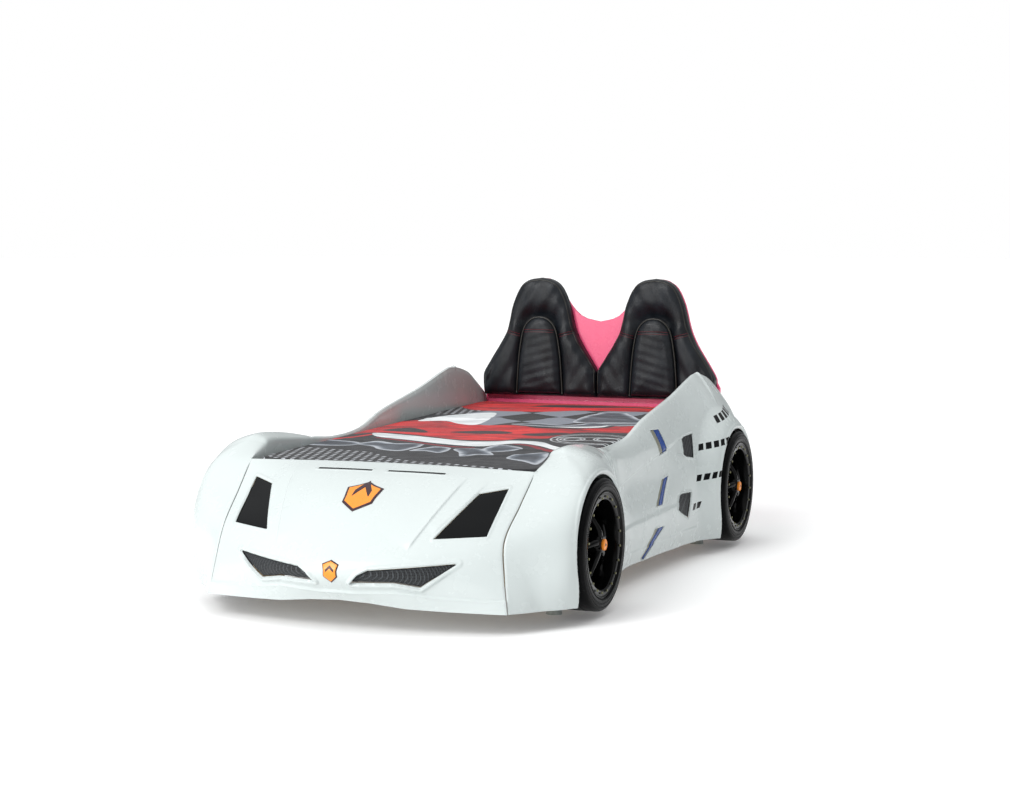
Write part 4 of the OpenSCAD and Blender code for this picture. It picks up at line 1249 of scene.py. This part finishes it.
def print_fields(flat):
    """Signed distance in metres to each colour of the print, negative inside."""
    fields = {}
    for name, rings in PRINT.items():
        best = np.full(flat.shape[:-1], 1e9)
        for ring in rings:
            line = rounded(ring, 6)
            best = np.minimum(best, outline_distance(line, flat)[0])
        fields[name] = best * 0.01
    c = np.array([37, 75.0])
    fields["disc"] = (np.linalg.norm(flat - c, axis=-1) - 14.5) * 0.01
    best = np.full(flat.shape[:-1], 1e9)
    for c, r in MOTIF:
        best = np.minimum(best, np.abs(np.linalg.norm(flat - np.array(c), axis=-1) - r) - 0.28)
    for a, b in MOTIF_LINES:
        side, k = line_distance(a, b, flat)
        best = np.minimum(best, np.where((k > 0) & (k < 1), np.abs(side), 9) - 0.28)
    fields["figure"] = np.maximum(best * 0.01, fields["disc"])
    return fields


def print_material():
    """Printed cotton: flat colours inside the cloth's own outlines, painted fold shade and painted sheen streaked
    through the colours, and a weave.
    """
    mat, tree, b = material("printed_cotton", (0.012, 0.012, 0.014), 0.7, spec=0.3, sheen=0.1)
    uv = node(tree, "ShaderNodeUVMap", uv_map="cut")

    def mask(layer):
        a = node(tree, "ShaderNodeAttribute", attribute_name="print_" + layer)
        return map_range(tree, a.outputs["Fac"], 0.0007, -0.0007, 0.0, 1.0)

    def over(below, above, factor):
        m = node(tree, "ShaderNodeMix", data_type="RGBA")
        tree.links.new(factor, m.inputs[0])
        tree.links.new(below, m.inputs[6])
        if isinstance(above, tuple):
            m.inputs[7].default_value = (*above, 1)
        else:
            tree.links.new(above, m.inputs[7])
        return m.outputs[2]

    def placed(scale, turn=0.0, z=0.5):
        m = node(tree, "ShaderNodeMapping", Scale=scale, Rotation=(0, 0, turn), Location=(0, 0, z))
        tree.links.new(uv.outputs[0], m.inputs["Vector"])
        return m.outputs[0]

    def streaks(scale, stretch, turn):
        n = node(tree, "ShaderNodeTexNoise", Scale=scale, Detail=6.0, Roughness=0.6, Distortion=0.6)
        tree.links.new(placed(stretch, turn), n.inputs["Vector"])
        return n.outputs["Fac"]

    # Painted sheen: the black lifts to blue-grey along soft streaks
    base = ramp(tree, streaks(4, (1, 2.2, 1), 0.3), [(0.35, (0.008, 0.008, 0.010)), (0.62, (0.016, 0.018, 0.022)),
                                                     (0.72, (0.05, 0.056, 0.066))])
    bricks = node(tree, "ShaderNodeTexBrick", Scale=1.0)
    bricks.offset = 0.5
    set_inputs(bricks, Color1=(1, 1, 1, 1), Color2=(0.6, 0.6, 0.6, 1), Mortar=(0, 0, 0, 1),
               Mortar_Size=0.009, Mortar_Smooth=0.1, Brick_Width=0.031, Row_Height=0.030)
    tree.links.new(placed((1, 1, 1), 0.22), bricks.inputs["Vector"])
    plate = ramp(tree, bricks.outputs["Color"], [(0.2, (0.01, 0.01, 0.012)), (0.6, (0.45, 0.47, 0.5))])
    check = node(tree, "ShaderNodeTexChecker", Scale=1.0)
    set_inputs(check, Color1=(0.012, 0.013, 0.015, 1), Color2=(0.20, 0.22, 0.26, 1))
    tree.links.new(placed((6.2, 5.0, 1), 0.5), check.inputs["Vector"])
    edge = node(tree, "ShaderNodeAttribute", attribute_name="print_grey")
    shade = map_range(tree, edge.outputs["Fac"], -0.03, 0.0, 0.0, 0.62)
    total = node(tree, "ShaderNodeMath", operation="ADD")
    tree.links.new(shade, total.inputs[0])
    tree.links.new(streaks(9, (1, 2.6, 1), -0.5), total.inputs[1])
    grey = ramp(tree, total.outputs[0], [(0.45, (0.035, 0.042, 0.055)), (0.75, (0.12, 0.14, 0.17)),
                                         (1.0, (0.42, 0.45, 0.49))])
    # Painted fold shade: the red and the white run darker and lighter along the streaks
    red = ramp(tree, streaks(5.5, (1, 3.2, 1), 0.18), [(0.30, (0.09, 0.0, 0.004)), (0.46, (0.40, 0.004, 0.008)),
                                                       (0.60, (0.62, 0.008, 0.010)), (0.72, (0.74, 0.03, 0.02))])
    white = ramp(tree, streaks(6, (1, 2.5, 1), 0.1), [(0.35, (0.52, 0.56, 0.57)), (0.6, (0.80, 0.83, 0.84))])
    colour = base
    for layer, paint in (("plate", plate), ("chequer", check.outputs["Color"]), ("grey", grey), ("red", red),
                         ("dark", (0.02, 0.012, 0.015)), ("white", white), ("thread", (0.22, 0.004, 0.012)),
                         ("disc", (0.010, 0.010, 0.012)), ("figure", (0.55, 0.58, 0.6))):
        colour = over(colour, paint, mask(layer))
    tree.links.new(colour, b.inputs["Base Color"])
    rough_between(tree, b, noise(tree, 30, 5), 0.55, 0.8)
    bump(tree, b, weave_height(tree, 4200.0), 0.25, 0.0005)
    return mat


SPREAD = print_material()


def bedspread():
    reach = BEND * 0.5 * math.pi + SPREAD_DROP - BEND
    lines = []
    for half, n in ((SPREAD_HALF[0], 190), (SPREAD_HALF[1], 360)):
        hem = np.concatenate([half + np.linspace(0, BEND * 0.5 * math.pi, 7), half + np.linspace(24, reach, 9)])
        lines.append(np.unique(np.round(np.concatenate([np.linspace(-half, half, n), hem, -hem]), 4)))
    ga, gb = np.meshgrid(*lines, indexing="ij")
    p, z = spread_point(ga, gb)
    edge = smooth((SPREAD_HALF[0] - np.abs(ga)) / 60) * smooth((SPREAD_HALF[1] - np.abs(gb)) / 60)
    z = z + (spread_wrinkles(ga, gb) + 1.2) * edge
    verts = np.stack([p[..., 0], p[..., 1], z], -1).reshape(-1, 3)
    index = np.arange(len(verts)).reshape(ga.shape)
    faces = np.stack([index[:-1, :-1], index[1:, :-1], index[1:, 1:], index[:-1, 1:]], -1).reshape(-1, 4)
    ob = piece("bedspread_cloth", verts, faces.tolist(), SPREAD, body="mattress_set")
    flat = np.stack([ga, gb + 900], -1).reshape(-1, 2)
    uv = ob.data.uv_layers.new(name="cut")
    loops = np.empty(len(ob.data.loops), np.int32)
    ob.data.loops.foreach_get("vertex_index", loops)
    uv.data.foreach_set("uv", (flat[loops] * MM).ravel())
    for name, sd in print_fields(flat * 0.1).items():
        layer = ob.data.attributes.new("print_" + name, "FLOAT", "POINT")
        layer.data.foreach_set("value", np.clip(sd, -0.1, 0.1).astype(np.float32))
    thicken(ob, 2.2, angle=80)
    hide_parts("bedspread")
    return ob


cloth = bedspread()

# ---- camera, floor and light -------------------------------------------------------------------

scene = bpy.context.scene
cam_data = bpy.data.cameras.new("camera")
cam_data.sensor_width = 36
cam_data.lens = 75.0
cam = bpy.data.objects.new("camera", cam_data)
cam.location = (2.632, -6.415, 1.162)
cam.rotation_euler = Euler((math.radians(90 - 4.97), 0, math.radians(21.80)))
scene.collection.objects.link(cam)
scene.camera = cam

bm = bmesh.new()
bmesh.ops.create_circle(bm, cap_ends=True, radius=60, segments=96)
me = bpy.data.meshes.new("floor")
bm.to_mesh(me)
bm.free()
floor_mat, tree, b = material("floor", (0.93, 0.93, 0.93), 0.6, spec=0.1)
b.inputs["Emission Color"].default_value = (1, 1, 1, 1)
b.inputs["Emission Strength"].default_value = 0.12
vary(tree, b, noise(tree, 0.6, 3), (0.93, 0.932, 0.932), 0.006)
me.materials.append(floor_mat)
floor = bpy.data.objects.new("floor", me)
scene.collection.objects.link(floor)


def sun(name, strength, angle, direction):
    data = bpy.data.lights.new(name, "SUN")
    data.energy = strength
    data.angle = math.radians(angle)
    ob = bpy.data.objects.new(name, data)
    ob.rotation_euler = Vector(direction).to_track_quat("-Z", "Y").to_euler()
    scene.collection.objects.link(ob)


def softbox(name, power, size, place, aim):
    data = bpy.data.lights.new(name, "AREA")
    data.shape = "RECTANGLE"
    data.size, data.size_y = size
    data.energy = power
    ob = bpy.data.objects.new(name, data)
    ob.location = place
    ob.rotation_euler = (Vector(aim) - Vector(place)).to_track_quat("-Z", "Y").to_euler()
    scene.collection.objects.link(ob)


sun("key", 1.6, 30, (0.35, 0.85, -0.78))
softbox("front_left", 170, (1.5, 1.7), (-2.7, -6.4, 1.75), (0, 1.1, 0.65))

world = bpy.data.worlds.new("world")
scene.world = world
world.use_nodes = True
tree = world.node_tree
back = tree.nodes["Background"]
coord = node(tree, "ShaderNodeTexCoord")
split = node(tree, "ShaderNodeSeparateXYZ")
tree.links.new(coord.outputs["Generated"], split.inputs[0])
sky = ramp(tree, split.outputs["Z"], [(0.0, (0.30, 0.31, 0.32)), (0.3, (0.50, 0.51, 0.52)),
                                      (0.62, (0.95, 0.96, 0.97)), (0.95, (1.5, 1.5, 1.5))])
tree.links.new(sky, back.inputs["Color"])
back.inputs["Strength"].default_value = 0.8
white = node(tree, "ShaderNodeBackground")
white.inputs["Color"].default_value = (1, 1, 1, 1)
white.inputs["Strength"].default_value = 1.0
path = node(tree, "ShaderNodeLightPath")
mix = node(tree, "ShaderNodeMixShader")
tree.links.new(path.outputs["Is Camera Ray"], mix.inputs[0])
tree.links.new(back.outputs[0], mix.inputs[1])
tree.links.new(white.outputs[0], mix.inputs[2])
tree.links.new(mix.outputs[0], tree.nodes["World Output"].inputs["Surface"])
scene.view_settings.view_transform = "Standard"
